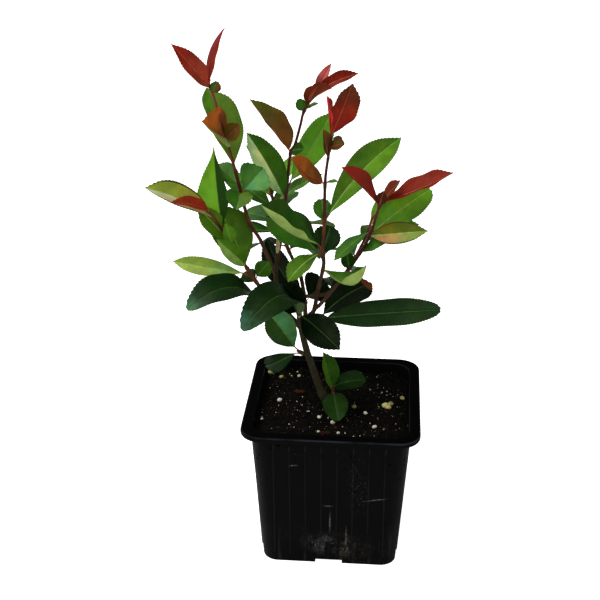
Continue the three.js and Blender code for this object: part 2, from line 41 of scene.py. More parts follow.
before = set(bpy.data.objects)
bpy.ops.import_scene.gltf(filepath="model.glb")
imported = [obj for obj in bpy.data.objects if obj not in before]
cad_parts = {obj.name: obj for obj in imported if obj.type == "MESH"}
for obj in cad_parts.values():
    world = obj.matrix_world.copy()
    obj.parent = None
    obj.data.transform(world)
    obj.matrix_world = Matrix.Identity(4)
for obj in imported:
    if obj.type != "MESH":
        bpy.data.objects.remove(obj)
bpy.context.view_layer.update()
print("solids in the frame:", len(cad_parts))

# %% [markdown]
# ## Camera and studio
#
# A plant portrait looks down on the pot, so that the compost and the faces of the leaves both show. A long
# lens keeps the pot's sides nearly parallel. The camera is placed by a compass turn, a rise and a distance
# from one point in the crown, which is easier to adjust than three coordinates.

# %% Camera
VIEW = {"turn": 4.63, "rise": 24.8, "distance": 594.7, "lens": 70.6}
LOOK_AT = (-17.8, 0, 135.5)


def heading(turn, rise):
    """The direction at a compass turn, 0 along +X and 90 to the back, and a rise above the level."""
    t, r = math.radians(turn), math.radians(rise)
    return np.array([math.cos(r) * math.cos(t), math.cos(r) * math.sin(t), math.sin(r)])


def linked(name, data):
    """A new object in the scene for a camera, a lamp or a mesh."""
    obj = bpy.data.objects.new(name, data)
    bpy.context.scene.collection.objects.link(obj)
    return obj


def placed(name, data, place, target):
    """An object at a place, turned so that its -Z axis points at the target."""
    obj = linked(name, data)
    obj.location = Vector(place) * MM
    obj.rotation_euler = (Vector(target) - Vector(place)).to_track_quat("-Z", "Y").to_euler()
    return obj


camera_data = bpy.data.cameras.new("portrait_camera")
camera_data.lens = VIEW["lens"]
camera_place = np.array(LOOK_AT) + heading(VIEW["turn"] - 90, VIEW["rise"]) * VIEW["distance"]
bpy.context.scene.camera = placed("portrait_camera", camera_data, camera_place, LOOK_AT)
bpy.context.scene.view_settings.view_transform = "Standard"
print("camera at", camera_place.round(), "mm")

# %% [markdown]
# A high cloud bank lights the table evenly from the left: it is a sun lamp as wide as a quarter of the sky,
# so its shadows are soft. A window behind on the left skims over the leaves and the pot's lip and draws
# their pale sheen, and a weak one in front opens the shadows. The sky itself is dim, since black plastic
# mirrors it.

# %% Light
LOOK_AT_SOIL = (0, 0, 100)
CLOUD = {"place": (-900, -500, 1500), "width": 50, "strength": 2.55, "colour": (1.0, 0.985, 0.96)}
LAMPS = {
    # name: place, target, size across, power in watts, colour
    "window_left": ((-650, 450, 700), (-20, 0, 150), 420, 2.2, (0.94, 0.97, 1.0)),
    "window_front": ((350, -800, 600), (-20, 0, 140), 500, 1.6, (1.0, 0.98, 0.95)),
}
# the sky lights the plant with its strength, and the camera sees it as a brighter backdrop
SKY = {"colour": (0.95, 0.97, 1.0, 1.0), "strength": 0.36, "backdrop": 1.3}

cloud = bpy.data.lights.new("cloud_bank", "SUN")
cloud.energy = CLOUD["strength"]
cloud.color = CLOUD["colour"]
cloud.angle = math.radians(CLOUD["width"])
placed("cloud_bank", cloud, CLOUD["place"], LOOK_AT_SOIL)

for name, (place, target, size, power, colour) in LAMPS.items():
    lamp = bpy.data.lights.new(name, "AREA")
    lamp.size = size * MM
    lamp.energy = power
    lamp.color = colour
    placed(name, lamp, place, target)

world = bpy.data.worlds.new("dim_sky")
world.use_nodes = True
nodes, links = world.node_tree.nodes, world.node_tree.links
sky = nodes["Background"]
sky.inputs["Color"].default_value = SKY["colour"]
seen = nodes.new("ShaderNodeLightPath").outputs["Is Camera Ray"]
lit_or_seen = nodes.new("ShaderNodeMapRange")
lit_or_seen.inputs["To Min"].default_value = SKY["strength"]
lit_or_seen.inputs["To Max"].default_value = SKY["backdrop"]
links.new(seen, lit_or_seen.inputs["Value"])
links.new(lit_or_seen.outputs["Result"], sky.inputs["Strength"])
bpy.context.scene.world = world
print("lamps:", 1 + len(LAMPS))

# %% [markdown]
# ## Helpers
#
# `Parts` collects the points and faces of many small things and joins them in one mesh. Every face has the
# name of a finish, and points can carry values, such as how far along its leaf a point lies, which the
# materials read later. `Nodes` builds a node tree one line at a time, and `Finish` is such a tree for a
# material.

# %% Parts


class Parts:
    """Points, faces and values of many small things, to be joined in one mesh."""

    def __init__(self):
        self.points, self.faces, self.finishes, self.sharp, self.values = [], [], [], [], {}
        self.count = 0

    def add(self, points, faces, finish, sharp=None, **values):
        """Adds one thing. finish is one name, or one name for each face; sharp marks points on an edge."""
        points = np.asarray(points, float)
        self.points.append(points)
        self.faces += [[self.count + i for i in face] for face in faces]
        self.finishes += [finish] * len(faces) if isinstance(finish, str) else list(finish)
        self.sharp.append(np.zeros(len(points), bool) if sharp is None else sharp)
        for key, value in values.items():
            self.values.setdefault(key, []).append(np.asarray(value, float))
        self.count += len(points)

    def mesh(self, name):
        """A mesh of the points and faces alone."""
        mesh = bpy.data.meshes.new(name)
        mesh.from_pydata(np.concatenate(self.points) * MM, [], self.faces)
        return mesh

    def build(self, name, materials):
        """One mesh object of everything added, which rides on the plant's body."""
        mesh = self.mesh(name)
        used = sorted(set(self.finishes))
        for finish in used:
            mesh.materials.append(materials[finish])
        index = {finish: i for i, finish in enumerate(used)}
        mesh.polygons.foreach_set("material_index", [index[f] for f in self.finishes])
        mesh.shade_smooth()
        sharp = np.concatenate(self.sharp)
        ends = np.empty(2 * len(mesh.edges), np.int32)
        mesh.edges.foreach_get("vertices", ends)
        edge_is_sharp = sharp[ends].reshape(-1, 2).all(axis=1)
        mesh.attributes.new("sharp_edge", "BOOLEAN", "EDGE").data.foreach_set("value", edge_is_sharp)
        for key, value in self.values.items():
            layer = mesh.attributes.new(key, "FLOAT_VECTOR", "POINT")
            layer.data.foreach_set("vector", np.concatenate(value).ravel())
        return finished(mesh, name)


def finished(mesh, name):
    """An object for a finished mesh, on the plant's body."""
    obj = linked(name, mesh)
    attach(obj, BODY)
    print(f"{name}: {len(mesh.polygons)} faces")
    return obj


def made_plain(obj, name):
    """The object's mesh with its modifiers worked out. The object itself is removed."""
    depsgraph = bpy.context.evaluated_depsgraph_get()
    mesh = bpy.data.meshes.new_from_object(obj.evaluated_get(depsgraph))
    mesh.name = name
    bpy.data.objects.remove(obj)
    return mesh


# %% Nodes and finishes


def paint(colour):
    """A colour given as a painter reads it, 0 to 255, in the shader's linear values."""
    values = [v / 255 for v in colour]
    return [v / 12.92 if v <= 0.04045 else ((v + 0.055) / 1.055) ** 2.4 for v in values]


def toned(colour, share):
    """A linear colour made darker or lighter, with an opaque alpha."""
    return (*[min(1.0, c * share) for c in colour], 1.0)


def solid(colour):
    """A painter's colour, ready for a shader."""
    return toned(paint(colour), 1)


class Nodes:
    """A node tree that is built one line at a time."""

    def __init__(self, tree):
        self.tree = tree

    def node(self, kind, inputs, output=0, **settings):
        """Adds a node and returns one of its outputs. A kind without the word Node is a shader's."""
        node = self.tree.nodes.new(kind if "Node" in kind else "ShaderNode" + kind)
        for key, value in settings.items():
            setattr(node, key, value)
        for socket, value in inputs.items():
            self.feed(node.inputs[socket], value)
        return node.outputs[output]

    def feed(self, socket, value):
        """Gives an input a value or the output of another node."""
        if isinstance(value, bpy.types.NodeSocket):
            self.tree.links.new(value, socket)
        else:
            socket.default_value = value

    def math(self, operation, first, *others):
        """An operation on one value, or carried on through several."""
        if not others:
            return self.node("Math", {0: first}, operation=operation)
        for other in others:
            first = self.node("Math", {0: first, 1: other}, operation=operation)
        return first

    def times(self, *values):
        return self.math("MULTIPLY", *values)

    def plus(self, *values):
        return self.math("ADD", *values)

    def split(self, vector):
        """The three values of a vector."""
        return self.node("SeparateXYZ", {0: vector}).node.outputs


class Finish(Nodes):
    """A material of the Principled shader, with patterns that are added line by line."""

    def __init__(self, name, **values):
        self.material = bpy.data.materials.new(name)
        self.material.use_nodes = True
        super().__init__(self.material.node_tree)
        self.shader = self.tree.nodes["Principled BSDF"]
        for socket, value in values.items():
            self.set(socket.replace("_", " "), value)

    def mix(self, share, low, high):
        """A colour between two colours."""
        return self.node("Mix", {0: share, 6: low, 7: high}, output=2, data_type="RGBA")

    def step(self, value, low, high, to_low=0.0, to_high=1.0):
        """A value that rises softly from one level to another while its input passes from low to high."""
        inputs = {0: value, 1: low, 2: high, 3: to_low, 4: to_high}
        return self.node("MapRange", inputs, interpolation_type="SMOOTHSTEP")

    def place(self):
        return self.node("TexCoord", {}, output="Object")

    def stretched(self, scale):
        """Object coordinates stretched by three scales."""
        return self.node("Mapping", {"Vector": self.place(), "Scale": scale})

    def attribute(self, name):
        """The three values that the points of a piece carry under a name."""
        return self.split(self.node("Attribute", {}, output="Vector", attribute_name=name))

    def noise(self, scale, vector=None, detail=3.0, roughness=0.55):
        """Cloudy values from 0 to 1. The scale counts features in a metre."""
        place = vector or self.place()
        inputs = {"Vector": place, "Scale": scale, "Detail": detail, "Roughness": roughness}
        return self.node("TexNoise", inputs)

    def bump(self, height, depth, strength=1.0):
        """Relief from a height of 0 to 1, with its depth in millimetres."""
        inputs = {"Height": height, "Distance": depth * MM, "Strength": strength}
        self.feed(self.shader.inputs["Normal"], self.node("Bump", inputs))

    def set(self, socket, value):
        self.feed(self.shader.inputs[socket], value)


MATERIALS = {}

# %% [markdown]
# ## The floor
#
# A pale sheet of card lies under the pot and runs far behind it, so that no horizon shows.

# %% Floor
FLOOR = 6000  # across

card = Finish("pale_card", Roughness=0.9, Emission_Color=(1, 1, 1, 1))
card.set("Base Color", card.mix(card.noise(4, detail=1), (0.7, 0.7, 0.7, 1), (0.74, 0.74, 0.74, 1)))
card.set("Emission Strength", card.node("LightPath", {}, output="Is Camera Ray"))
MATERIALS["card"] = card.material

floor_mesh = bpy.data.meshes.new("floor")
corner = FLOOR / 2 * MM
corners = [(-corner, -corner, 0), (corner, -corner, 0), (corner, corner, 0), (-corner, corner, 0)]
floor_mesh.from_pydata(corners, [], [(0, 1, 2, 3)])
floor_mesh.materials.append(MATERIALS["card"])
floor = linked("floor", floor_mesh)
print("floor:", FLOOR, "mm across")

# %% [markdown]
# ## The pot
#
# Such a pot is blown from thin recycled plastic. Its walls taper so that pots stack, and a lip with a short
# skirt stiffens the mouth. One profile, carried round a square with round corners, gives the whole shell:
# up the outside, over the lip, down the inside and across the floor.

# %% Pot sizes
POT = {
    "rim": 90,
    "height": 80.9,
    "wall_top": 80.3,
    "base": 69.8,
    "wall": 1.1,
    "floor": 1.4,
    "lip": 3,
    "rim_corner": 11,
    "wall_corner": 8,
    "bevel": 0.6,
}
EDGE = {
    "neck": 1,  # height of the soft turn below the lip
    "turn": (0.3, 0.2),  # how far it comes out and stays down
    "nook": 0.5,
    "skirt": 0.05,  # the skirt's lower edge is nearly a half circle
    "outer": 1.2,
    "inner": 0.8,
    "sweep": 2,  # slope from the wall to the floor, inside
}
CORNER_STEPS = 10  # segments in each round corner
ROUND_STEPS = 4  # segments in each rounded edge of the profile


def wall_half(z):
    """Half the pot's outside width at a height, along the tapered wall."""
    share = z / (POT["height"] - POT["lip"])
    return (POT["base"] + (POT["wall_top"] - POT["base"]) * share) / 2


def square_ring(half, corner, z):
    """A level square with round corners, counter-clockwise from above."""
    points = []
    for side in range(4):
        middle = math.pi / 4 + side * math.pi / 2
        reach = math.sqrt(2) * (half - corner)
        for k in range(CORNER_STEPS + 1):
            angle = middle + (k / CORNER_STEPS - 0.5) * math.pi / 2
            x = reach * math.cos(middle) + corner * math.cos(angle)
            y = reach * math.sin(middle) + corner * math.sin(angle)
            points.append((x, y, z))
    return points


def rounded(centre, radius, start, end):
    """Points of an arc in the profile's plane, as (out, up), between two angles in degrees."""
    out, up = centre
    angles = [math.radians(start + (end - start) * k / ROUND_STEPS) for k in range(ROUND_STEPS + 1)]
    return [(out + radius * math.cos(a), up + radius * math.sin(a)) for a in angles]


# %% Pot shell


def pot_profile():
    """The wall's section as (distance out, height), from the foot over the lip and down to the floor."""
    top, wall, bevel = POT["height"], POT["wall"], POT["bevel"]
    rim, skirt = POT["rim"] / 2, POT["height"] - POT["lip"]
    plate = top - wall
    neck, (out, down), nook, sweep = EDGE["neck"], EDGE["turn"], EDGE["nook"], EDGE["sweep"]
    outer, inner, soft = EDGE["outer"], EDGE["inner"], wall / 2 - EDGE["skirt"]
    profile = rounded((wall_half(bevel) - bevel, bevel), bevel, -90, 0)
    profile += [(wall_half(plate - neck), plate - neck), (wall_half(plate) + out, plate - down)]
    profile += [(rim - wall - nook, plate), (rim - wall, plate - nook)]
    profile += rounded((rim - wall / 2, skirt + soft), soft, 180, 360)
    profile += rounded((rim - outer, top - outer), outer, 0, 90)
    profile += rounded((wall_half(top) - wall + inner, top - inner), inner, 90, 180)
    profile += [(wall_half(POT["floor"] + sweep) - wall, POT["floor"] + sweep)]
    profile += [(wall_half(POT["floor"]) - wall - sweep, POT["floor"])]
    return profile


def bands(rings, count, first=0):
    """Faces between rings that lie one after another in a list of points, each with the same count."""
    faces = []
    for i in range(rings - 1):
        here = first + i * count
        above = here + count
        for k in range(count):
            j = (k + 1) % count
            faces.append((here + k, here + j, above + j, above + k))
    return faces


def pot_shell():
    """The shell's points and faces: one ring for each point of the profile, closed below and inside."""
    points = []
    middle = wall_half(POT["height"] / 2)
    for half, z in pot_profile():
        share = (half - middle) / (POT["rim"] / 2 - middle)
        grown = POT["rim_corner"] - POT["wall_corner"]
        corner = POT["wall_corner"] + grown * min(1.0, max(0.0, share))
        points += square_ring(half, corner, z)
    count = 4 * (CORNER_STEPS + 1)
    rings = len(points) // count
    faces = bands(rings, count)
    faces.append(tuple(reversed(range(count))))
    faces.append(tuple(range((rings - 1) * count, rings * count)))
    return points, faces


shell = Parts()
shell.add(*pot_shell(), "plastic")
print("pot profile:", len(pot_profile()), "points")

# %% [markdown]
# The foot of each side has a drain slot, and the floor has four holes. Simple cutters are taken away from
# the shell by a Boolean modifier, the way a moulder's tool leaves them open.

# %% Drain slots and holes
SLOT = {"wide": 14, "high": 2.3, "deep": 6}
DRAIN = {"radius": 4, "offset": 18, "low": -3, "high": 4, "sides": 24}


def slot_box():
    """A box across the foot of the front side."""
    half, high, deep = SLOT["wide"] / 2, SLOT["high"], SLOT["deep"] / 2
    near, far = -wall_half(0) - deep, -wall_half(0) + deep
    level = [(-half, near), (half, near), (half, far), (-half, far)]
    points = [(*place, z) for z in (-high, high) for place in level]
    return points, bands(2, 4) + [(3, 2, 1, 0), (4, 5, 6, 7)]


def drain_drum():
    """A drum through the floor, near the front right corner."""
    count, middle = DRAIN["sides"], np.array([DRAIN["offset"], -DRAIN["offset"]])
    angles = np.linspace(0, 2 * math.pi, count, endpoint=False)
    disc = middle + DRAIN["radius"] * np.column_stack([np.cos(angles), np.sin(angles)])
    points = [(*place, z) for z in (DRAIN["low"], DRAIN["high"]) for place in disc]
    ends = [tuple(reversed(range(count))), tuple(range(count, 2 * count))]
    return points, bands(2, count) + ends


def cutters():
    """One object of all the cutters, with each cutter turned to all four sides."""
    pieces = Parts()
    for side in range(4):
        c, s = math.cos(side * math.pi / 2), math.sin(side * math.pi / 2)
        spin = np.array([[c, s, 0], [-s, c, 0], [0, 0, 1]])
        for points, faces in (slot_box(), drain_drum()):
            pieces.add(np.array(points) @ spin, faces, "plastic")
    return linked("cutters", pieces.mesh("cutters"))


# %% [markdown]
# Slim upright ribs stiffen the walls. They repeat at an even pitch, so a small Geometry Nodes tree makes
# them: a line of points along one side, a half-sunk round bar on each point, and the row copied to all four
# sides. The tree ends in Realize Instances and Set Material, and its result is kept as a plain mesh.

# %% Ribs by Geometry Nodes
RIB = {"per_side": 8, "pitch": 8, "radius": 0.6, "proud": 0.4, "low": 6, "high": 75, "sides": 10}


class Tree(Nodes):
    """A Geometry Nodes tree with named inputs, built line by line."""

    def __init__(self, name, **inputs):
        super().__init__(bpy.data.node_groups.new(name, "GeometryNodeTree"))
        self.add_socket("Geometry", "OUTPUT", "Geometry")
        for label, kind in {"Geometry": "Geometry", **inputs}.items():
            self.add_socket(label, "INPUT", kind)
        self.inputs = self.tree.nodes.new("NodeGroupInput").outputs
        self.end = self.tree.nodes.new("NodeGroupOutput")

    def add_socket(self, label, way, kind):
        self.tree.interface.new_socket(label, in_out=way, socket_type="NodeSocket" + kind)

    def vector(self, x=0.0, y=0.0, z=0.0):
        return self.node("CombineXYZ", {0: x, 1: y, 2: z})

    def copies(self, points, instance, rotation, scale=(1, 1, 1)):
        """One instance on every point."""
        inputs = {"Points": points, "Instance": instance, "Rotation": rotation, "Scale": scale}
        return self.node("GeometryNodeInstanceOnPoints", inputs)

    def finish(self, geometry):
        """Makes the copies real, smooth and painted, and ends the tree."""
        real = self.node("GeometryNodeRealizeInstances", {"Geometry": geometry})
        smooth = self.node("GeometryNodeSetShadeSmooth", {0: real})
        painting = {"Geometry": smooth, "Material": self.inputs["Material"]}
        self.feed(self.end.inputs["Geometry"], self.node("GeometryNodeSetMaterial", painting))

    def grow(self, name, base, **values):
        """Runs the tree on a base mesh, with its inputs set by name, and returns a plain mesh."""
        holder = linked(name, base)
        modifier = holder.modifiers.new(name, "NODES")
        modifier.node_group = self.tree
        for item in self.tree.interface.items_tree:
            if item.in_out == "INPUT" and item.name in values:
                modifier[item.identifier] = values[item.name]
        return made_plain(holder, name)


def rib_tree():
    tree = Tree(
        "wall_ribs",
        Count="Int",
        Pitch="Float",
        Radius="Float",
        Length="Float",
        Lean="Float",
        Reach="Float",
        Middle="Float",
        Material="Material",
    )
    i = tree.inputs
    row = tree.times(i["Pitch"], tree.times(tree.math("SUBTRACT", i["Count"], 1), -0.5))
    start = tree.vector(row, tree.times(i["Reach"], -1), i["Middle"])
    steps = {"Count": i["Count"], "Start Location": start, "Offset": tree.vector(i["Pitch"])}
    line = tree.node("GeometryNodeMeshLine", steps)
    size = {"Vertices": RIB["sides"], "Radius": i["Radius"], "Depth": i["Length"]}
    bar = tree.node("GeometryNodeMeshCylinder", {**size, "Side Segments": 1, "Fill Segments": 1})
    bars = tree.copies(line, bar, tree.vector(i["Lean"]))
    sides = tree.node("GeometryNodeMeshLine", {"Count": 4, "Offset": (0, 0, 0)})
    turn = tree.times(tree.node("GeometryNodeInputIndex", {}), math.pi / 2)
    tree.finish(tree.copies(sides, bars, tree.vector(0.0, 0.0, turn)))
    return tree


def pot_ribs():
    low, high = RIB["low"], RIB["high"]
    rise, run = high - low, wall_half(high) - wall_half(low)
    sunk = RIB["radius"] - RIB["proud"]
    return rib_tree().grow(
        "pot_ribs",
        bpy.data.meshes.new("ribs_base"),
        Count=RIB["per_side"],
        Pitch=RIB["pitch"] * MM,
        Radius=RIB["radius"] * MM,
        Length=math.hypot(rise, run) * MM,
        Lean=math.atan2(run, rise),
        Reach=(wall_half((low + high) / 2) - sunk) * MM,
        Middle=(low + high) / 2 * MM,
        Material=MATERIALS["rib"],
    )


# %% [markdown]
# Recycled black plastic is never one black. It is satin where hands have rubbed it and duller elsewhere,
# with faint flow lines up the wall. Every face that looks up, the lip's flat top among them, is duller and
# is painted nearly black, a painted shade, and the lip's round edge is painted bluish grey in patches, a
# painted highlight. The ribs are a lighter copy of the plastic, a painted highlight along each rib. Compost
# dust has dried low on the front, in specks and in thin runs between the ribs, and a stacked pot has left
# short scratches. Each of these is its own pattern in object coordinates, so it stays on the wall from every
# side.

# %% Plastic
DUST = {"grey": (104, 106, 104), "warm": (112, 103, 90), "low": 4, "high": 30}
FRONT = (-28, -32)  # marks fade in between these depths
# painted light on the lip: flat is a near black painted shade on every face that looks up, and rubbed is a
# bluish grey painted highlight on the round edge above these heights
LIP_PAINTED_LIGHT = {"flat": (1, 1, 1), "rubbed": (34, 37, 43), "from": (70, 72)}  # colours, and heights where it begins
WEAR = {
    # on the front wall: middle across, middle up, half width, half height, slope
    "film": (4, 12, 21, 10, -0.12),
    "splash": (14.5, 50, 7, 27, 0),
    "run": (0.6, 27, 0.6, 9, 0),
    "side_run": (9, 17, 0.6, 10, 0),
    "scuff": (-0.5, 37.5, 3.2, 0.5, 0),
    "nick": (-18, 62, 3, 0.5, 0.1),
    "scratch": (23.5, 42.6, 8.5, 0.5, 0.19),
}


def wear(f, name):
    """1 in the middle of a worn place on the front wall, 0 outside it."""
    x, z, wide, high, slope = WEAR[name]
    across, deep, up = [f.math("DIVIDE", length, MM) for length in f.split(f.place())]
    across = f.math("SUBTRACT", across, x)
    up = f.math("SUBTRACT", up, z, f.times(across, slope))
    across, up = f.math("DIVIDE", across, wide), f.math("DIVIDE", up, high)
    away = f.math("SQRT", f.plus(f.math("POWER", across, 2), f.math("POWER", up, 2)))
    return f.times(f.step(away, 1.0, 0.3), f.step(deep, *FRONT))


def wall_dirt(f, height, grains, patch):
    """How far dirt hides the plastic: grit and thin runs low down, and the marks of wear."""
    low = f.step(height, DUST["high"], DUST["low"])
    streak = f.step(f.noise(1, f.stretched((260, 260, 9)), detail=2), 0.5, 0.74)
    crust = f.times(f.step(grains, 0.48, 0.62), f.step(f.noise(240), 0.36, 0.6))
    grit = f.times(f.step(grains, 0.6, 0.68), patch, low, 0.45)
    thin = f.times(streak, low, 0.12)
    film = f.times(wear(f, "film"), crust, 0.75)
    drops = f.times(wear(f, "splash"), f.step(grains, 0.63, 0.67), 0.8)
    rubbed = [wear(f, name) for name in ("run", "side_run", "scuff", "nick", "scratch")]
    marks = f.times(f.math("MAXIMUM", *rubbed), f.step(grains, 0.4, 0.62, to_low=0.1, to_high=0.75))
    return f.math("MAXIMUM", film, grit, thin, marks, drops)


def plastic(name, dark, light):
    f = Finish(name, Specular_IOR_Level=0.022)
    cloud = f.noise(55, detail=4)
    flow = f.noise(1, f.stretched((420, 420, 14)))
    grains = f.noise(1500, roughness=0.75)
    patch = f.step(f.noise(38, detail=2), 0.45, 0.62)
    height = f.math("DIVIDE", f.split(f.place())[2], MM)
    level = f.split(f.node("NewGeometry", {}, output="Normal"))[2]
    top = f.step(level, 0.75, 0.97)
    base = f.mix(cloud, solid(dark), solid(light))
    # painted shade: every face that looks up, the lip's flat top among them, is painted near black
    base = f.mix(top, base, solid(LIP_PAINTED_LIGHT["flat"]))
    # painted highlight: the lip's round edge is painted bluish grey in patches
    round_edge = f.times(f.step(level, 0.1, 0.4), f.step(level, 0.9, 0.65), f.step(height, *LIP_PAINTED_LIGHT["from"]))
    lip_painted_highlight = f.times(round_edge, f.step(cloud, 0.35, 0.65))
    base = f.mix(lip_painted_highlight, base, solid(LIP_PAINTED_LIGHT["rubbed"]))
    dirt = wall_dirt(f, height, grains, patch)
    f.set("Base Color", f.mix(dirt, base, f.mix(patch, solid(DUST["grey"]), solid(DUST["warm"]))))
    rough = f.step(f.plus(f.times(cloud, 0.6), f.times(flow, 0.4)), 0.3, 0.75, to_low=0.38, to_high=0.52)
    f.set("Roughness", f.plus(rough, f.times(f.math("MAXIMUM", dirt, top), 0.4)))
    relief = f.plus(f.times(flow, 0.6), f.times(f.noise(1500, detail=2), 0.25))
    f.bump(relief, depth=0.12, strength=0.5)
    return f.material


MATERIALS["plastic"] = plastic("black_plastic", (5, 5, 6), (11, 11, 12))
# the ribs take a lighter copy of the black plastic: a painted highlight along each rib
MATERIALS["rib"] = plastic("rubbed_ribs", (11, 12, 13), (22, 23, 25))

# %% Finish the pot
SHARP_FROM = 42  # degrees between two faces


def build_pot():
    rough = linked("pot_shell", shell.mesh("pot_shell"))
    rough.data.materials.append(MATERIALS["plastic"])
    tool = cutters()
    cut = rough.modifiers.new("drains", "BOOLEAN")
    cut.object = tool
    cut.operation = "DIFFERENCE"
    cut.solver = "EXACT"
    body = made_plain(rough, "pot_body")
    bpy.data.objects.remove(tool)
    body.shade_smooth()
    body.set_sharp_from_angle(angle=math.radians(SHARP_FROM))
    return body


pot_body = finished(build_pot(), "pot_body")
finished(pot_ribs(), "pot_ribs")
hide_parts("pot")

# %% [markdown]
# ## The compost
#
# Potting compost is a loose mix: black-brown crumbs, strips of composted bark and grains of perlite, the
# white volcanic glass that keeps it open. The bed itself is a closed mesh of rings inside the wall, with
# lumps from fractal noise and a slight hollow along the wall.

# %% Compost bed
BED = {
    "top": 76,
    "edge_drop": 0.8,
    "edge_width": 5,
    "lump": 1.3,
    "around": 300,
    "rings": 70,
    "crowding": 0.8,  # below 1, the rings crowd toward the wall
    "level": 3.2,  # grains lie on the top down to this depth
    "in_wall": 0.2,
    "off_floor": 0.3,
    "off_wall": 0.1,
}
LUMPS = [
    # size across, place in the noise, share of the height
    (9, 0.5, 0.55),
    (2.6, 3.5, 0.4),
    (1.1, 7.5, 0.22),
]


def lumps(x, y):
    """The height of the bed's lumps at a place."""
    shares = [share * noise.noise(Vector((x / size, y / size, place))) for size, place, share in LUMPS]
    return BED["lump"] * sum(shares)


def outline_point(half, corner, share):
    """A point at a share of the way round a square with round corners."""
    straight = 2 * (half - corner)
    arc = math.pi / 2 * corner
    way = share * 4 * (straight + arc)
    side, rest = divmod(way, straight + arc)
    turn = (int(side) % 4) * math.pi / 2
    if rest < straight:
        x, y = half, -straight / 2 + rest
    else:
        angle = (rest - straight) / corner
        x = half - corner + corner * math.cos(angle)
        y = half - corner + corner * math.sin(angle)
    return x * math.cos(turn) - y * math.sin(turn), x * math.sin(turn) + y * math.cos(turn)


def compost_bed():
    """Rings from the middle of the top out to the wall, then down to the floor."""
    half = wall_half(BED["top"]) - POT["wall"] + BED["in_wall"]
    count = BED["around"]
    rim = [outline_point(half, POT["wall_corner"], k / count) for k in range(count)]
    points = [(0, 0, BED["top"] + lumps(0, 0))]
    for ring in range(1, BED["rings"] + 1):
        share = (ring / BED["rings"]) ** BED["crowding"]
        for x, y in rim:
            inward = (1 - share) * half
            drop = BED["edge_drop"] * math.exp(-((inward / BED["edge_width"]) ** 2))
            points.append((x * share, y * share, BED["top"] - drop + lumps(x * share, y * share)))
    bottom = POT["floor"] + BED["off_floor"]
    low = wall_half(bottom) - POT["wall"] - BED["off_wall"]
    points += [(*outline_point(low, POT["wall_corner"], k / count), bottom) for k in range(count)]
    faces = [(0, 1 + k, 1 + (k + 1) % count) for k in range(count)]
    faces += [(a, d, c, b) for a, b, c, d in bands(BED["rings"] + 1, count, 1)]
    last = 1 + BED["rings"] * count
    faces.append(tuple(reversed(range(last, last + count))))
    return points, faces


# %% [markdown]
# The bed's colour is a mottle of two browns with dark wet hollows. Moist compost has a faint sparkle, so
# its roughness dips where a fine noise peaks.

# %% Compost finishes


def compost_finish(name, dark, light, rough, relief):
    """A crumbly matt finish that wanders between two colours."""
    f = Finish(name, Specular_IOR_Level=0.05)
    mottle = f.noise(420, detail=5, roughness=0.7)
    patch = f.noise(90, detail=2)
    share = f.step(f.plus(f.times(mottle, 0.65), f.times(patch, 0.35)), 0.38, 0.66)
    f.set("Base Color", f.mix(share, solid(dark), solid(light)))
    sparkle = f.step(f.noise(1300, detail=1), 0.4, 0.75, to_low=rough, to_high=rough - 0.35)
    f.set("Roughness", sparkle)
    f.bump(f.noise(1100, detail=4, roughness=0.7), depth=relief, strength=0.8)
    return f.material


MATERIALS["soil"] = compost_finish("moist_compost", (2, 2, 1), (12, 9, 7), 0.98, 0.5)
MATERIALS["crumb"] = compost_finish("compost_crumbs", (3, 2, 2), (20, 14, 10), 0.98, 0.25)
MATERIALS["chip"] = compost_finish("bark_chips", (26, 13, 8), (70, 36, 20), 0.95, 0.2)
MATERIALS["perlite"] = compost_finish("perlite_grains", (150, 145, 120), (226, 222, 205), 0.95, 0.15)
MATERIALS["perlite_old"] = compost_finish("stained_perlite", (120, 110, 60), (214, 206, 140), 0.95, 0.15)

bed_parts = Parts()
bed_parts.add(*compost_bed(), "soil")
bed = bed_parts.build("compost_bed", MATERIALS)
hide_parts("compost")

# %% [markdown]
# Crumbs, bark chips and perlite are scattered by one Geometry Nodes tree. It throws points on the level
# part of the bed, puts a small ball on each, stretched and turned at random, and lets a noise push the
# balls out of round once they are real geometry. The seed is fixed, so every run grows the same bed.

# %% Scatter tree


def scatter_tree():
    tree = Tree(
        "bed_scatter",
        Density="Float",
        Least="Float",
        Most="Float",
        Flat="Float",
        Slim="Float",
        Facets="Int",
        Uneven="Float",
        Seed="Int",
        Material="Material",
    )
    i = tree.inputs
    height = tree.split(tree.node("GeometryNodeInputPosition", {}))[2]
    level = tree.math("GREATER_THAN", height, (BED["top"] - BED["level"]) * MM)
    spread = {"Mesh": i["Geometry"], "Selection": level, "Density": i["Density"], "Seed": i["Seed"]}
    points = tree.node("GeometryNodeDistributePointsOnFaces", spread)
    ball = tree.node("GeometryNodeMeshIcoSphere", {"Radius": 0.5 * MM, "Subdivisions": i["Facets"]})
    size = tree.node("FunctionNodeRandomValue", {2: i["Least"], 3: i["Most"], "Seed": i["Seed"]}, output=1)
    shape = tree.vector(size, tree.times(size, i["Slim"]), tree.times(size, i["Flat"]))
    turns = {0: (-0.5, -0.5, 0.0), 1: (0.5, 0.5, 6.28), "Seed": i["Seed"]}
    spin = tree.node("FunctionNodeRandomValue", turns, data_type="FLOAT_VECTOR")
    balls = tree.copies(points, ball, spin, shape)
    real = tree.node("GeometryNodeRealizeInstances", {"Geometry": balls})
    rough = tree.node("TexNoise", {"Scale": 900.0, "Detail": 1.0}, output=1)
    centred = tree.node("VectorMath", {0: rough, 1: (0.5, 0.5, 0.5)}, operation="SUBTRACT")
    push = tree.node("VectorMath", {0: centred, "Scale": i["Uneven"]}, operation="SCALE")
    tree.finish(tree.node("GeometryNodeSetPosition", {"Geometry": real, "Offset": push}))
    return tree


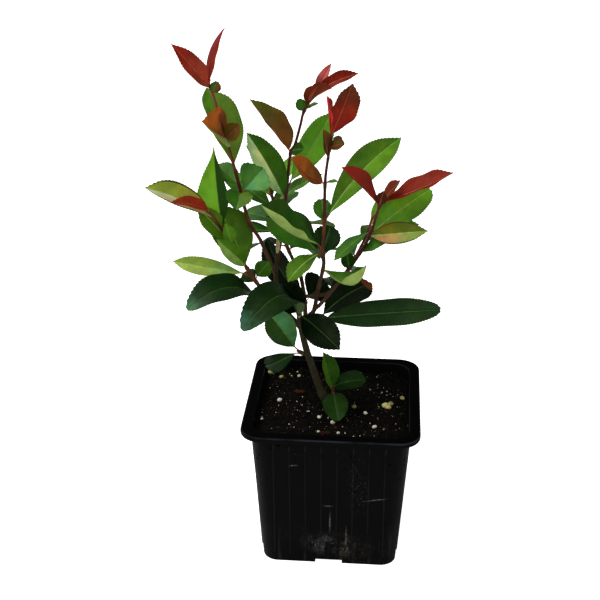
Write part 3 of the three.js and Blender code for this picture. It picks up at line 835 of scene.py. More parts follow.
CM2_IN_M2 = 1e4
SCATTERS = {
    # name: finish, pieces in a square centimetre, least and most size, flat, slim, facets, uneven, seed
    "crumbs_fine": ("crumb", 22, 0.6, 1.5, 0.7, 0.9, 1, 0.8, 4),
    "crumbs_coarse": ("crumb", 3.2, 1.6, 3.2, 0.6, 0.8, 2, 1.2, 9),
    "bark_chips": ("chip", 0.3, 1.6, 3.6, 0.3, 0.5, 2, 1.0, 15),
    "perlite_grains": ("perlite", 0.5, 0.5, 1.25, 0.8, 0.8, 2, 0.9, 23),
    "perlite_specks": ("perlite_old", 1.4, 0.35, 0.8, 0.8, 0.8, 1, 0.4, 31),
    "perlite_dust": ("perlite_old", 5, 0.15, 0.38, 0.8, 0.8, 1, 0.2, 37),
}

scatter = scatter_tree()
for name, (finish, density, least, most, flat, slim, facets, uneven, seed) in SCATTERS.items():
    grown = scatter.grow(
        name,
        bed.data,
        Density=density * CM2_IN_M2,
        Least=least,
        Most=most,
        Flat=flat,
        Slim=slim,
        Facets=facets,
        Uneven=uneven * MM,
        Seed=seed,
        Material=MATERIALS[finish],
    )
    finished(grown, name)

# %% [markdown]
# A few grains are large enough to be told apart. They are listed one by one as lumpy balls, half sunk in the
# bed.

# %% Large grains
GRAINS = [
    # x, y, size across, finish
    (27.3, -1.0, 4.0, "perlite_old"),
    (29.9, 0.6, 3.4, "perlite_old"),
    (28.9, -2.2, 3.0, "perlite_old"),
    (16.9, -8.0, 2.2, "perlite"),
    (21.9, -22.5, 2.4, "perlite"),
    (10.8, -2.4, 2.4, "perlite_old"),
    (0.4, -19.6, 2.6, "perlite"),
    (-6.6, -16.4, 2.2, "perlite"),
    (-12.6, -11.0, 1.8, "perlite"),
    (-28.6, 0.8, 2.4, "perlite"),
    (-6.2, -28.6, 1.6, "perlite"),
    (35.8, 8.7, 2.6, "perlite_old"),
    (-36.5, 30.4, 3.4, "perlite_old"),
    (-20.5, 28.4, 2.2, "perlite"),
    (-30.2, 26.6, 2.4, "perlite_old"),
    (3.9, -30.2, 1.7, "perlite"),
    (-36.0, -18.2, 1.6, "perlite"),
    (-2.6, -30.0, 5.6, "chip"),
    (-18.7, 10.8, 6.0, "chip"),
]
GRAIN_SHAPES = {
    # finish: width and height beside the length
    "chip": (0.45, 0.35),
    "perlite": (0.85, 0.75),
    "perlite_old": (0.85, 0.75),
}
GRAIN = {"rows": 8, "columns": 12, "uneven": 0.35, "swells": 2.2, "above": 0.3}


def ball(sizes):
    """Points and faces of a closed ball with three sizes across."""
    rows, columns = GRAIN["rows"], GRAIN["columns"]
    points = [(0, 0, -0.5)]
    for i in range(1, rows):
        tilt = math.pi * (i / rows - 0.5)
        out, up = 0.5 * math.cos(tilt), 0.5 * math.sin(tilt)
        turns = [2 * math.pi * k / columns for k in range(columns)]
        points += [(out * math.cos(turn), out * math.sin(turn), up) for turn in turns]
    points.append((0, 0, 0.5))
    last = len(points) - 1
    top = last - columns
    faces = [(0, 1 + (k + 1) % columns, 1 + k) for k in range(columns)]
    faces += bands(rows - 1, columns, 1)
    faces += [(last, top + k, top + (k + 1) % columns) for k in range(columns)]
    return np.array(points) * sizes, faces


grains = Parts()
for x, y, size, finish in GRAINS:
    slim, flat = GRAIN_SHAPES[finish]
    points, faces = ball((size, size * slim, size * flat))
    places = [Vector(p) * GRAIN["swells"] / size + Vector((x, y, 0)) for p in points]
    swell = np.array([1 + GRAIN["uneven"] * noise.noise(place) for place in places])
    height = BED["top"] + lumps(x, y) + size * flat * GRAIN["above"]
    grains.add(points * swell[:, None] + (x, y, height), faces, finish)
grains.build("large_grains", MATERIALS)

# %% [markdown]
# ## How the plant grows
#
# Every limb and twig is a smooth line through a few bends, with a radius that tapers. A side shoot starts
# on the skin of its parent, square to its own way. This is the rule that made the solids, written again, so
# both stand in the same place.

# %% Stems
GAP = 0.3  # between neighbouring solids
COLLAR = 0.55  # share of its radius at which a limb or a twig starts beside its parent
GROUND = BED["top"] + GAP  # the flat cut under the trunk
LINE_STEPS = 60  # points between two bends


def unit(vector):
    return np.asarray(vector, float) / np.linalg.norm(vector)


def lerp(low, high, share):
    return low + (high - low) * share


class Stem:
    """A smooth line through its bends, with a radius that tapers from thick to thin."""

    def __init__(self, bends, thick, thin):
        bends = np.asarray(bends, float)
        ends = [2 * bends[0] - bends[1], *bends, 2 * bends[-1] - bends[-2]]
        share = np.linspace(0, 1, LINE_STEPS, endpoint=False)[:, None]
        pieces = []
        for a, b, c, d in zip(ends, ends[1:], ends[2:], ends[3:]):
            curve = 2 * b + (c - a) * share + (2 * a - 5 * b + 4 * c - d) * share**2
            pieces.append(0.5 * (curve + (3 * b - a - 3 * c + d) * share**3))
        self.line = np.vstack([*pieces, bends[-1:]])
        steps = np.linalg.norm(np.diff(self.line, axis=0), axis=1)
        self.length = steps.sum()
        self.shares = np.concatenate([[0], np.cumsum(steps)]) / self.length
        self.thick, self.thin = thick, thin

    def radius(self, share):
        return lerp(self.thick, self.thin, share)

    def point(self, share):
        return np.array([np.interp(share, self.shares, self.line[:, k]) for k in range(3)])

    def tangent(self, share):
        step = 0.001
        return unit(self.point(min(1, share + step)) - self.point(max(0, share - step)))

    def seat(self, share, way, thick):
        """Where a twig starts: its foot is a disc square to its way, clear of this stem's skin or end."""
        tangent, along = self.tangent(share), heading(*way)
        lean = math.acos(np.clip(tangent @ along, -1, 1))
        foot = COLLAR * thick
        if share == 1:
            return self.point(1) + tangent * (GAP + foot * math.sin(lean))
        side = self.radius(share) + GAP + foot * abs(math.cos(lean))
        return self.point(share) + along * side / math.sin(lean)


def branch(parent, share, way, bends, thick, thin):
    """A stem that starts beside its parent. It remembers the parent's axis, where its visible foot is."""
    stem = Stem([parent.seat(share, way, thick), *bends], thick, thin)
    stem.origin = parent.point(share)
    return stem


# %% Trunk and boughs
TRUNK_BENDS = [
    (-4.3, 3.9, GROUND),
    (-7, 3.5, 81.5),
    (-11, 2.5, 94.5),
    (-14.5, 1.5, 106.5),
    (-16.8, 1, 116.5),
    (-18, 0.5, 125),
    (-18.3, 0, 130.5),
]
trunk = Stem(TRUNK_BENDS, 2.1, 1.4)
bough_left = branch(
    trunk, 0.8, (175, 50),
    [(-21.8, 1, 124.5), (-26, 1, 130.5), (-30, 2, 145), (-29.3, 4, 158.5), (-29.2, 5, 167)], 1.35, 1.05,
)
bough_right = branch(
    trunk, 0.88, (-20, 40),
    [(-13, -2, 128), (-10.5, -3, 131.5), (-9.4, -4, 137.5), (-8.2, -5, 144.5)], 1.25, 1,
)
bough_back = branch(trunk, 0.76, (90, 45), [(-15.8, 9, 122.5), (-17, 15, 132), (-19, 19, 141)], 1.25, 1)
LIMBS = {"trunk": trunk, "bough_left": bough_left, "bough_right": bough_right, "bough_back": bough_back}
for name, limb in LIMBS.items():
    print(f"{name}: {limb.length:.0f} mm long, {2 * limb.thick:.1f} to {2 * limb.thin:.1f} mm thick")

# %% [markdown]
# A tube follows a line of points and carries a frame along it that never twists. Limbs, twigs, leaf stalks
# and the ribs under the leaves are all such tubes.

# %% Tube


def carried_frames(line):
    """The way and two cross directions at each point of a line, without twist."""
    ways = np.gradient(line, axis=0)
    ways /= np.linalg.norm(ways, axis=1)[:, None]
    start = np.array([1.0, 0, 0]) if abs(ways[0][0]) < 0.8 else np.array([0, 1.0, 0])
    across = []
    for way in ways:
        start = unit(start - (start @ way) * way)
        across.append(start)
    across = np.array(across)
    return ways, across, np.cross(ways, across)


def tube(line, radii, sides):
    """Points and faces of a closed round tube. radii is one for each point, or one for each side too."""
    line = np.asarray(line, float)
    ways, u, v = carried_frames(line)
    angles = np.linspace(0, 2 * math.pi, sides, endpoint=False)
    radii = np.broadcast_to(np.asarray(radii, float).reshape(len(line), -1), (len(line), sides))
    ring = np.cos(angles)[None, :, None] * u[:, None] + np.sin(angles)[None, :, None] * v[:, None]
    points = (line[:, None] + radii[:, :, None] * ring).reshape(-1, 3)
    points = np.vstack([points, line[:1], line[-1:]])
    first, last = len(points) - 2, len(points) - 1
    end = (len(line) - 1) * sides
    faces = bands(len(line), sides)
    faces += [(first, (k + 1) % sides, k) for k in range(sides)]
    faces += [(last, end + k, end + (k + 1) % sides) for k in range(sides)]
    return points, faces


# %% [markdown]
# ## Bark
#
# The trunk and its boughs are one living skin, so their tubes are fused: a voxel remesh melts the four
# closed tubes into one surface with soft crotches. Then each point moves along its normal by a noise that is
# stretched up the limb, for the shallow ridges of young bark, and swells at old leaf scars. The trunk and
# the left bough were pruned on a slant, and the cuts show pale dry wood.

# %% Bark skin
VOXEL = 0.22  # the finest detail of the fused skin
LIMB = {"step": 0.8, "sides": 20, "foot": 1.15}  # a bough's foot inside its parent is thicker
SCAR = {"pitch": 7.5, "swell": 0.06, "spread": 0.5}  # old leaf scars up a limb
FLARE = {"swell": 0.35, "height": 3.2, "ridges": 5, "ridge": 0.25, "turn": 0.7, "sunk": 1.5, "foot": 1.1}


def limb_tube(limb):
    """A limb as a tube with swollen scars. The trunk flares at the soil, a bough starts in its parent."""
    shares = np.linspace(0, 1, int(limb.length / LIMB["step"]))
    line = np.array([limb.point(s) for s in shares])
    rise = shares * limb.length
    scars = np.exp(-(((rise % SCAR["pitch"]) - SCAR["pitch"] / 2) ** 2) / SCAR["spread"])
    radii = limb.radius(shares) * (1 + SCAR["swell"] * scars)
    if limb is trunk:
        angles = np.linspace(0, 2 * math.pi, LIMB["sides"], endpoint=False)
        ridged = 1 + FLARE["ridge"] * np.cos(FLARE["ridges"] * angles + FLARE["turn"])
        flare = FLARE["swell"] * np.exp(-rise / FLARE["height"])
        radii = radii[:, None] * (1 + flare[:, None] * ridged)
        line = np.vstack([line[0] - (0, 0, FLARE["sunk"]), line])
        radii = np.vstack([radii[:1] * FLARE["foot"], radii])
    else:
        line = np.vstack([limb.origin, line])
        radii = np.concatenate([[limb.thick * LIMB["foot"]], radii])[:, None]
    return tube(line, radii, LIMB["sides"])


def bark_skin():
    rough = Parts()
    for limb in LIMBS.values():
        rough.add(*limb_tube(limb), "bark")
    obj = linked("limbs", rough.mesh("limbs"))
    remesh = obj.modifiers.new("fuse", "REMESH")
    remesh.mode = "VOXEL"
    remesh.voxel_size = VOXEL * MM
    smooth = obj.modifiers.new("soften", "SMOOTH")
    smooth.iterations = 3
    return made_plain(obj, "bark_skin")


def nearest_limb(point):
    """The limb that a point lies on, and its share along it."""
    best = (math.inf, None, 0)
    for name, limb in LIMBS.items():
        away = np.linalg.norm(limb.line - point, axis=1)
        k = int(away.argmin())
        if away[k] < best[0]:
            best = (away[k], name, limb.shares[k])
    return best[1:]


CUTS = {
    # pruned limb: length of the slanting cut, the way it faces
    "trunk": (4.5, (-100, 25)),
    "bough_left": (8, (-100, 25)),
}
RIDGE = {"across": 1.6, "up": 0.35, "deep": 0.13}
PORE = {"scale": 2.3, "deep": 0.06}


def cut_plane(name):
    """A point on a pruned end's plane and the plane's normal."""
    limb = LIMBS[name]
    long, faces = CUTS[name]
    tip, tangent = limb.point(1), limb.tangent(1)
    side = heading(*faces)
    side = unit(side - (side @ tangent) * tangent)
    return tip - side * limb.thin, unit(side + 2 * limb.thin / long * tangent)


def bark_relief(mesh):
    """Moves the skin by the ridges of the bark, and planes the pruned ends down to cut wood."""
    count = len(mesh.vertices)
    points = np.empty(3 * count)
    normals = np.empty(3 * count)
    mesh.vertices.foreach_get("co", points)
    mesh.vertices.foreach_get("normal", normals)
    points, normals = points.reshape(-1, 3) / MM, normals.reshape(-1, 3)
    planes = {name: cut_plane(name) for name in CUTS}
    moved = points.copy()
    climb = np.zeros((count, 3))
    bare = np.zeros(count, bool)
    for k, (point, normal) in enumerate(zip(points, normals)):
        x, y, z = point
        ridge = noise.noise(Vector((x * RIDGE["across"], y * RIDGE["across"], z * RIDGE["up"])))
        pore = noise.noise(Vector(point) * PORE["scale"])
        moved[k] = point + normal * (RIDGE["deep"] * ridge + PORE["deep"] * pore)
        name, share = nearest_limb(point)
        climb[k, 0] = share if name != "trunk" else -share
        if name in CUTS and (point - LIMBS[name].point(1)) @ LIMBS[name].tangent(1) > -CUTS[name][0]:
            place, way = planes[name]
            proud = (moved[k] - place) @ way
            bare[k] = proud > 0
            moved[k] -= max(0, proud) * way
    mesh.vertices.foreach_set("co", (moved * MM).ravel())
    mesh.attributes.new("climb", "FLOAT_VECTOR", "POINT").data.foreach_set("vector", climb.ravel())
    mesh.materials.append(MATERIALS["bark"])
    mesh.materials.append(MATERIALS["cut_wood"])
    for face in mesh.polygons:
        if bare[list(face.vertices)].all():
            face.material_index = 1
    mesh.shade_smooth()
    mesh.update()
    return mesh


# %% [markdown]
# Young photinia bark is grey-brown and turns red-brown on the boughs, where the last year's wood begins. The
# points carry how far up their bough they lie, and the finish turns from one colour to the other by that.

# %% Bark finish


def bark():
    f = Finish("young_bark", Specular_IOR_Level=0.12)
    up = f.attribute("climb")
    ridge = f.noise(1, f.stretched((1500, 1500, 340)), detail=4, roughness=0.65)
    patch = f.noise(160)
    grey = f.mix(ridge, solid((22, 19, 12)), solid((74, 66, 46)))
    brown = f.mix(ridge, solid((34, 20, 12)), solid((78, 52, 32)))
    turn = f.step(f.plus(up[0], f.times(patch, 0.3)), 0.25, 0.75)
    skin = f.mix(turn, grey, brown)
    green = f.times(f.step(patch, 0.52, 0.68), 0.35)
    f.set("Base Color", f.mix(green, skin, solid((74, 82, 44))))
    f.set("Roughness", f.step(ridge, 0.3, 0.7, to_low=0.72, to_high=0.9))
    f.bump(ridge, depth=0.18, strength=0.9)
    return f.material


def cut_wood():
    f = Finish("cut_wood")
    rings = f.noise(900)
    f.set("Base Color", f.mix(rings, solid((150, 128, 84)), solid((214, 196, 146))))
    f.set("Roughness", f.step(rings, 0.2, 0.8, to_low=0.8, to_high=0.95))
    f.bump(rings, depth=0.15, strength=0.6)
    return f.material


MATERIALS["bark"] = bark()
MATERIALS["cut_wood"] = cut_wood()
bark_piece = finished(bark_relief(bark_skin()), "bark_skin")
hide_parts(*LIMBS)

# %% [markdown]
# ## Leaves
#
# A photinia leaf is an oblong blade on a short stalk. Its halves fold up from a sunken midrib, it bows along
# its length, and its margin is finely toothed. New leaves are red and folded, then bronze, then bright
# green, and old ones are nearly black-green and glossy. So the age of a leaf sets its bow, fold and stalk,
# and its tint names the finish of the upper face, the underside and the rib. Three tints are painted light
# rather than a leaf's own colour alone: a pale green painted lighter still on a half that lies in shade, a
# light green painted highlight on one half of a glossy leaf, and a bluish painted sheen at the tips of old
# leaves that curl.

# %% Ages and outlines
AGES = {
    "bud": {"bow": 0.04, "fold": 24, "stalk": 1, "wave": 0.05},
    "young": {"bow": 0.02, "fold": 28, "stalk": 1.5, "wave": 0.1},
    "turning": {"bow": 0.03, "fold": 30, "stalk": 2, "wave": 0.05},
    "grown": {"bow": 0.05, "fold": 13, "stalk": 3, "wave": 0.06},
    "old": {"bow": 0.11, "fold": 11, "stalk": 4, "wave": 0.07},
}
OUTLINES = {
    # how the width rises and falls along the blade
    "leaf": (1.05, 0.8),
    "oval": (0.62, 0.55),
    "slim": (0.9, 0.95),
    "ovate": (0.7, 1),
    "lance": (1.2, 2.4),
    "spoon": (1.2, 0.65),
    "strap": (0.55, 0.45),
}
BLUNT = ("oval", "strap")  # the others end in a drawn-out point
POINT = {"from": 0.8, "narrowed": 0.45}
STALK_LEAN = 0.6  # how far a stalk leans up its stem, beside the leaf's own way
TINTS = {
    # name: age, upper face, underside, rib
    "brown": ("bud", (98, 36, 20), (118, 62, 38), "red_rib"),
    "darkbrown": ("bud", (64, 26, 16), (84, 42, 28), "red_rib"),
    "umber": ("bud", (92, 62, 20), (112, 78, 34), "red_rib"),
    "red": ("young", (156, 58, 42), (140, 46, 34), "red_rib"),
    "ruby": ("young", (124, 24, 14), (112, 24, 18), "red_rib"),
    "scarlet": ("young", (186, 26, 32), (176, 40, 36), "red_rib"),
    "crimson": ("young", (122, 32, 24), (104, 28, 22), "red_rib"),
    "russet": ("young", (140, 44, 22), (150, 70, 44), "red_rib"),
    "pink": ("young", (196, 92, 82), (206, 120, 104), "red_rib"),
    "redbrown": ("young", (142, 30, 22), (130, 42, 30), "red_rib"),
    "bronze": ("turning", (94, 62, 24), (120, 96, 46), "red_rib"),
    "orange": ("turning", (126, 68, 28), (150, 104, 50), "red_rib"),
    "pinkedge": ("turning", (182, 136, 84), (190, 116, 88), "red_rib"),
    "olive": ("turning", (108, 116, 26), (140, 134, 64), "green_rib"),
    "yellow": ("turning", (166, 176, 60), (176, 180, 104), "green_rib"),
    "cream": ("grown", (206, 204, 150), (200, 196, 160), "green_rib"),
    "light": ("grown", (124, 160, 70), (154, 180, 92), "green_rib"),
    "pale": ("grown", (146, 176, 92), (156, 180, 102), "green_rib"),
    # a pale green half, painted much lighter than its own colour because it lies in shade: painted light
    "mint": ("grown", (156, 196, 108), (182, 208, 136), "green_rib"),
    "bright": ("grown", (92, 144, 32), (134, 164, 78), "green_rib"),
    "mid": ("grown", (68, 110, 22), (118, 148, 68), "green_rib"),
    "green": ("grown", (52, 98, 20), (112, 146, 66), "leaf_rib"),
    "fresh": ("grown", (76, 106, 30), (122, 150, 70), "leaf_rib"),
    "glossy": ("grown", (60, 108, 40), (108, 140, 72), "leaf_rib"),
    # one half of a glossy leaf, painted lighter: a painted highlight
    "shiny": ("grown", (84, 142, 84), (108, 140, 72), "leaf_rib"),
    "dgreen": ("grown", (36, 74, 14), (128, 156, 72), "leaf_rib"),
    "dark": ("grown", (20, 46, 10), (84, 112, 54), "dark_rib"),
    "old": ("old", (16, 40, 10), (70, 96, 48), "dark_rib"),
    # old leaves that curl; their tips take a painted sheen, given in the tip colours below
    "curled": ("old", (14, 36, 8), (70, 96, 48), "dark_rib"),
    "deep": ("old", (8, 20, 5), (52, 76, 36), "dark_rib"),
}
TIPS = {
    # the upper face's colour toward the tip, and the shares of the blade where it starts and is full
    "red": ((162, 32, 20), 0.3, 0.9),
    "redbrown": ((100, 44, 20), 0.3, 0.9),
    "bronze": ((78, 84, 22), 0.3, 0.9),
    "orange": ((184, 98, 30), 0.2, 0.6),
    "pinkedge": ((126, 152, 62), 0.35, 0.9),
    "yellow": ((150, 166, 50), 0.3, 0.9),
    # lighter still toward the tip: more painted light on the half in shade
    "mint": ((214, 246, 160), 0.1, 0.45),
    "bright": ((80, 132, 24), 0.3, 0.9),
    # a bluish green at the tip: a painted sheen, the sky's reflection on the curl
    "curled": ((54, 92, 70), 0.82, 1.0),
}


def breadth(outline, t):
    """The blade's width at a share of its length, 1 where it is widest."""
    rise, fall = OUTLINES[outline]
    widest = rise / (rise + fall)
    width = t**rise * (1 - t) ** fall / (widest**rise * (1 - widest) ** fall)
    if outline in BLUNT:
        return width
    near_tip = np.clip((t - POINT["from"]) / (1 - POINT["from"]), 0, 1)
    return width * (1 - POINT["narrowed"] * near_tip**2)


def leaf(at, turn, rise, long, wide, roll, tint, **more):
    """A leaf at a share of its stem: its way, its blade's length and width, its roll and its tint."""
    row = {"at": at, "turn": turn, "rise": rise, "long": long, "wide": wide, "roll": roll, "tint": tint}
    return {**row, "outline": "leaf", **AGES[TINTS[tint][0]], **more}


def leaf_axes(row):
    """The directions of a leaf: along the midrib, out of the upper face, and across."""
    along = heading(row["turn"], row["rise"])
    upright = heading(row["turn"], row["rise"] + 90)
    level = np.cross(upright, along)
    roll = math.radians(row["roll"])
    up = math.cos(roll) * upright + math.sin(roll) * level
    return along, up, math.cos(roll) * level - math.sin(roll) * upright


def leaf_foot(stem, row):
    """Where the stalk leaves the stem's axis and where the blade starts."""
    root = stem.point(row["at"])
    lean = unit(STALK_LEAN * stem.tangent(row["at"]) + heading(row["turn"], row["rise"]))
    return root, root + lean * row["stalk"]


def midrib(row, axes, base, t):
    """Points of the midrib and the normals of the blade there."""
    along, up, _ = axes
    t = np.asarray(t, float)[..., None]
    point = base + along * t * row["long"] + up * 4 * t * (1 - t) * row["bow"] * row["long"]
    normal = up - along * 4 * (1 - 2 * t) * row["bow"]
    return point, normal / np.linalg.norm(normal, axis=-1)[..., None]


# %% [markdown]
# The blade is a grid of stations along the leaf and columns across it, on two sheets that meet at the
# margin. Two stations make one tooth, a notch and a point that leans forward. The columns nearest the middle
# keep a strip for the midrib, which narrows toward the tip, and the faces there take the rib's own finish.

# %% Blade
SHEET = 0.2  # thickness
TOOTH = {"pitch": 1.5, "fewest": 6, "notch": 0.22, "point": 0.85, "share": 0.045, "most": 0.3, "ahead": 0.3}
MIDRIB = {"foot": 0.42, "tip": 0.12, "most": 0.45, "sunk": 0.16}  # half widths, share of the blade, depth
CURL = 1.35  # 1 would make each half of the blade flat
WAVES = (1.6, 2.8)  # least and most along a margin
COLUMNS = np.array([0, 0.24, 0.48, 0.7, 0.88, 1])


def blade_grid(row, axes, base, dice):
    """Places of the grid, with each point's share across and along, and its distances."""
    teeth = max(TOOTH["fewest"], round(row["long"] / TOOTH["pitch"]))
    k = np.arange(teeth)
    t = np.column_stack([(k + TOOTH["notch"]) / teeth, (k + TOOTH["point"]) / teeth]).ravel()
    pointed = np.tile([0.0, 1.0], teeth)
    half = breadth(row["outline"], t) * row["wide"] / 2
    rib = np.clip(lerp(MIDRIB["foot"], MIDRIB["tip"], t) / half, 0, MIDRIB["most"])
    one_side = rib[:, None] + (1 - rib[:, None]) * COLUMNS
    s = np.hstack([-one_side[:, ::-1], np.zeros((len(t), 1)), one_side])
    point, normal = midrib(row, axes, base, t)
    margin = np.abs(s) > 0.999
    proud = np.minimum(TOOTH["share"] * half, TOOTH["most"])[:, None] * pointed[:, None] * margin
    fold = math.radians(row["fold"])
    reach = np.sign(s) * (np.abs(s) * half[:, None] + proud)
    across = reach * math.cos(fold)
    lift = half[:, None] * math.sin(fold) * np.abs(s) ** CURL
    phase = dice.uniform(0, 2 * math.pi, 2)
    waves = dice.uniform(*WAVES)
    swing = np.sin(2 * math.pi * waves * t[:, None] + np.where(s < 0, phase[0], phase[1]))
    lift = lift + row["wave"] * half[:, None] * s**2 * swing
    lift = lift - MIDRIB["sunk"] * (s == 0)
    forward = margin * pointed[:, None] * TOOTH["ahead"] * row["long"] / teeth
    places = (
        point[:, None]
        + axes[2] * across[..., None]
        + normal[:, None] * lift[..., None]
        + axes[0] * forward[..., None]
    )
    chance = np.full_like(s, dice.uniform(0, 1))
    way = np.broadcast_to(t[:, None], s.shape)
    shares = np.stack([s, way, chance], axis=-1)
    lengths = np.stack([reach, way * row["long"], np.zeros_like(s)], axis=-1)
    return places, normal, shares, lengths


EDGE_FROM = 0.8  # shares of the half width and of the length
TIP_FROM = 0.82


def upper_finish(row, t, s):
    """The finish of an upper face at a place on the blade: its tint, or that of its half, edge or tip."""
    tint = row["tint"]
    if s > 0:
        tint = row.get("left", tint)
    if s < 0:
        tint = row.get("right", tint)
    if abs(s) > EDGE_FROM:
        tint = row.get("edge", tint)
    if t > TIP_FROM:
        tint = row.get("tip", tint)
    return tint + "_upper"


def both_sheets(values, inner, foot_and_tip):
    """The grid's values for the upper sheet, then the lower sheet, then the blade's foot and tip."""
    return np.vstack([values.reshape(-1, 3), values[:, inner].reshape(-1, 3), foot_and_tip])


def add_blade(parts, row, axes, base, dice):
    """Adds the two sheets of one blade."""
    grid, normal, shares, lengths = blade_grid(row, axes, base, dice)
    rows, columns = grid.shape[:2]
    inner = slice(1, columns - 1)
    half_sheet = normal[:, None] * SHEET / 2
    upper = grid.copy()
    upper[:, inner] += half_sheet
    lower = grid[:, inner] - half_sheet
    ends, _ = midrib(row, axes, base, [0, 1])
    points = np.vstack([upper.reshape(-1, 3), lower.reshape(-1, 3), ends])
    top = np.arange(rows * columns).reshape(rows, columns)
    below = top.copy()
    below[:, inner] = rows * columns + np.arange(rows * (columns - 2)).reshape(rows, -1)
    foot, tip = len(points) - 2, len(points) - 1
    faces, finishes = [], []
    middle = columns // 2
    rib = TINTS[row["tint"]][3]
    for j in range(columns - 1):
        on_rib = j in (middle - 1, middle)
        s = 0.5 * (shares[rows // 2, j, 0] + shares[rows // 2, j + 1, 0])
        for i in range(-1, rows):
            t = shares[max(i, 0), 0, 1]
            a, b = (top[i, j], top[i, j + 1]) if i >= 0 else (foot, foot)
            c, d = (top[i + 1, j + 1], top[i + 1, j]) if i < rows - 1 else (tip, tip)
            e, f = (below[i, j], below[i, j + 1]) if i >= 0 else (foot, foot)
            g, h = (below[i + 1, j + 1], below[i + 1, j]) if i < rows - 1 else (tip, tip)
            faces.append(list(dict.fromkeys((a, d, c, b))))
            faces.append(list(dict.fromkeys((e, f, g, h))))
            finishes.append(rib if on_rib else upper_finish(row, t, s))
            finishes.append(rib if on_rib else row.get("under", row["tint"]) + "_under")
    sharp = np.zeros(len(points), bool)
    sharp[top[:, 0]] = sharp[top[:, -1]] = True
    sharp[[foot, tip]] = True
    chance = shares[0, 0, 2]
    blade = both_sheets(shares, inner, [(0, 0, chance), (0, 1, chance)])
    size = both_sheets(lengths, inner, [(0, 0, 0), (0, row["long"], 0)])
    parts.add(points, faces, finishes, sharp, blade=blade, size=size)


# %% [markdown]
# The stalk runs on under the blade as a raised rib, so one tapering tube makes both. A small bud sits in the
# angle between each stalk and its stem, as on every shoot of this shrub.

# %% Stalk, rib and bud
STALK = {"foot": 0.62, "neck": 0.4, "tip": 0.08, "stations": 9, "sides": 6}
STALK_BEND = (0.55, 0.06)  # the share of the stalk where it bends, and how far up
STALK_SIZE = (0.55, 70)  # a short leaf has a thinner stalk: the least share, and millimetres to one share
RIB_SUNK = 0.6  # sheets that the rib's line lies below the blade's middle
RIB_END = 0.92  # the share of the blade where the rib below it ends
BUD = {"long": 1.9, "wide": 1.1, "sides": 7, "swell": (0.7, 1, 0.95, 0.7, 0.35, 0.05)}
BUD_FOOT = {"out": 0.8, "lean": 1.2}  # shares of the stem's radius and of its way


def add_stalk(parts, stem, row, axes):
    """Adds a leaf's stalk and the rib under its blade."""
    root, base = leaf_foot(stem, row)
    count = STALK["stations"]
    line, normal = midrib(row, axes, base, np.linspace(0, RIB_END, count))
    line = line - normal * SHEET * RIB_SUNK
    bend, up = STALK_BEND
    near = lerp(root, base, bend) + up * row["stalk"] * axes[1]
    line = np.vstack([root, near, line])
    least, span = STALK_SIZE
    size = min(1.0, least + row["long"] / span)
    taper = np.linspace(STALK["neck"], STALK["tip"], count)
    radii = size * np.concatenate([[STALK["foot"], STALK["neck"]], taper])
    points, faces = tube(line, radii, STALK["sides"])
    on_stalk = 2 * STALK["sides"]
    rib = TINTS[row["tint"]][3]
    finishes = ["stalk" if i < on_stalk else rib for i in range(len(faces))]
    still = np.zeros((len(points), 3))
    parts.add(points, faces, finishes, None, blade=still, size=still)


def add_bud(parts, stem, share, way, scale):
    """A pointed bud in the angle of a leaf."""
    foot = stem.point(share) + way * stem.radius(share) * BUD_FOOT["out"]
    along = unit(way + BUD_FOOT["lean"] * stem.tangent(share))
    t = np.linspace(0, 1, len(BUD["swell"]))
    line = foot + along * (t[:, None] * BUD["long"] * scale)
    radii = scale * BUD["wide"] / 2 * np.array(BUD["swell"])
    points, faces = tube(line, radii, BUD["sides"])
    parts.add(points, faces, "bud", None, climb=np.tile([share, 0, 0], (len(points), 1)))


# %% [markdown]
# Each leaf takes its looks from a handful of finishes. The upper face is glossy and quilted: it bulges
# between the side veins, which run forward from the midrib. The underside is paler and matt, with the veins
# raised. Both read two values that every point of a leaf carries: its shares across and along the blade,
# and its distances in millimetres.

# %% Leaf finishes
VEIN = {"pitch": 3.1, "forward": 0.75, "shows": 0.12, "shows_dark": 0.04}
DARK = (60, 60, 60)  # a leaf whose strongest colour is below this is a dark one
PALE = (150, 170, 80)  # side veins lean to this colour


def veins(f):
    """1 on a side vein, 0 midway between two."""
    across, along, _ = f.attribute("size")
    ahead = f.math("SUBTRACT", along, f.times(f.math("ABSOLUTE", across), VEIN["forward"]))
    wander = f.times(f.noise(130, detail=1), 0.5)
    phase = f.plus(f.math("DIVIDE", ahead, VEIN["pitch"]), wander)
    part = f.math("SUBTRACT", f.math("FRACT", phase), 0.5)
    return f.times(f.math("ABSOLUTE", part), 2.0)


def wandering(f, colour, hue, tone):
    """A leaf's colour, from cool to warm by hue and from dark to light by tone."""
    red, green, blue = colour
    cool = (0.86 * red, 0.97 * green, 1.1 * blue)
    warm = (1.22 * red, 1.06 * green, 0.8 * blue)
    low = f.mix(hue, toned(cool, 0.68), toned(warm, 0.68))
    return f.mix(tone, low, f.mix(hue, toned(cool, 1.28), toned(warm, 1.28)))


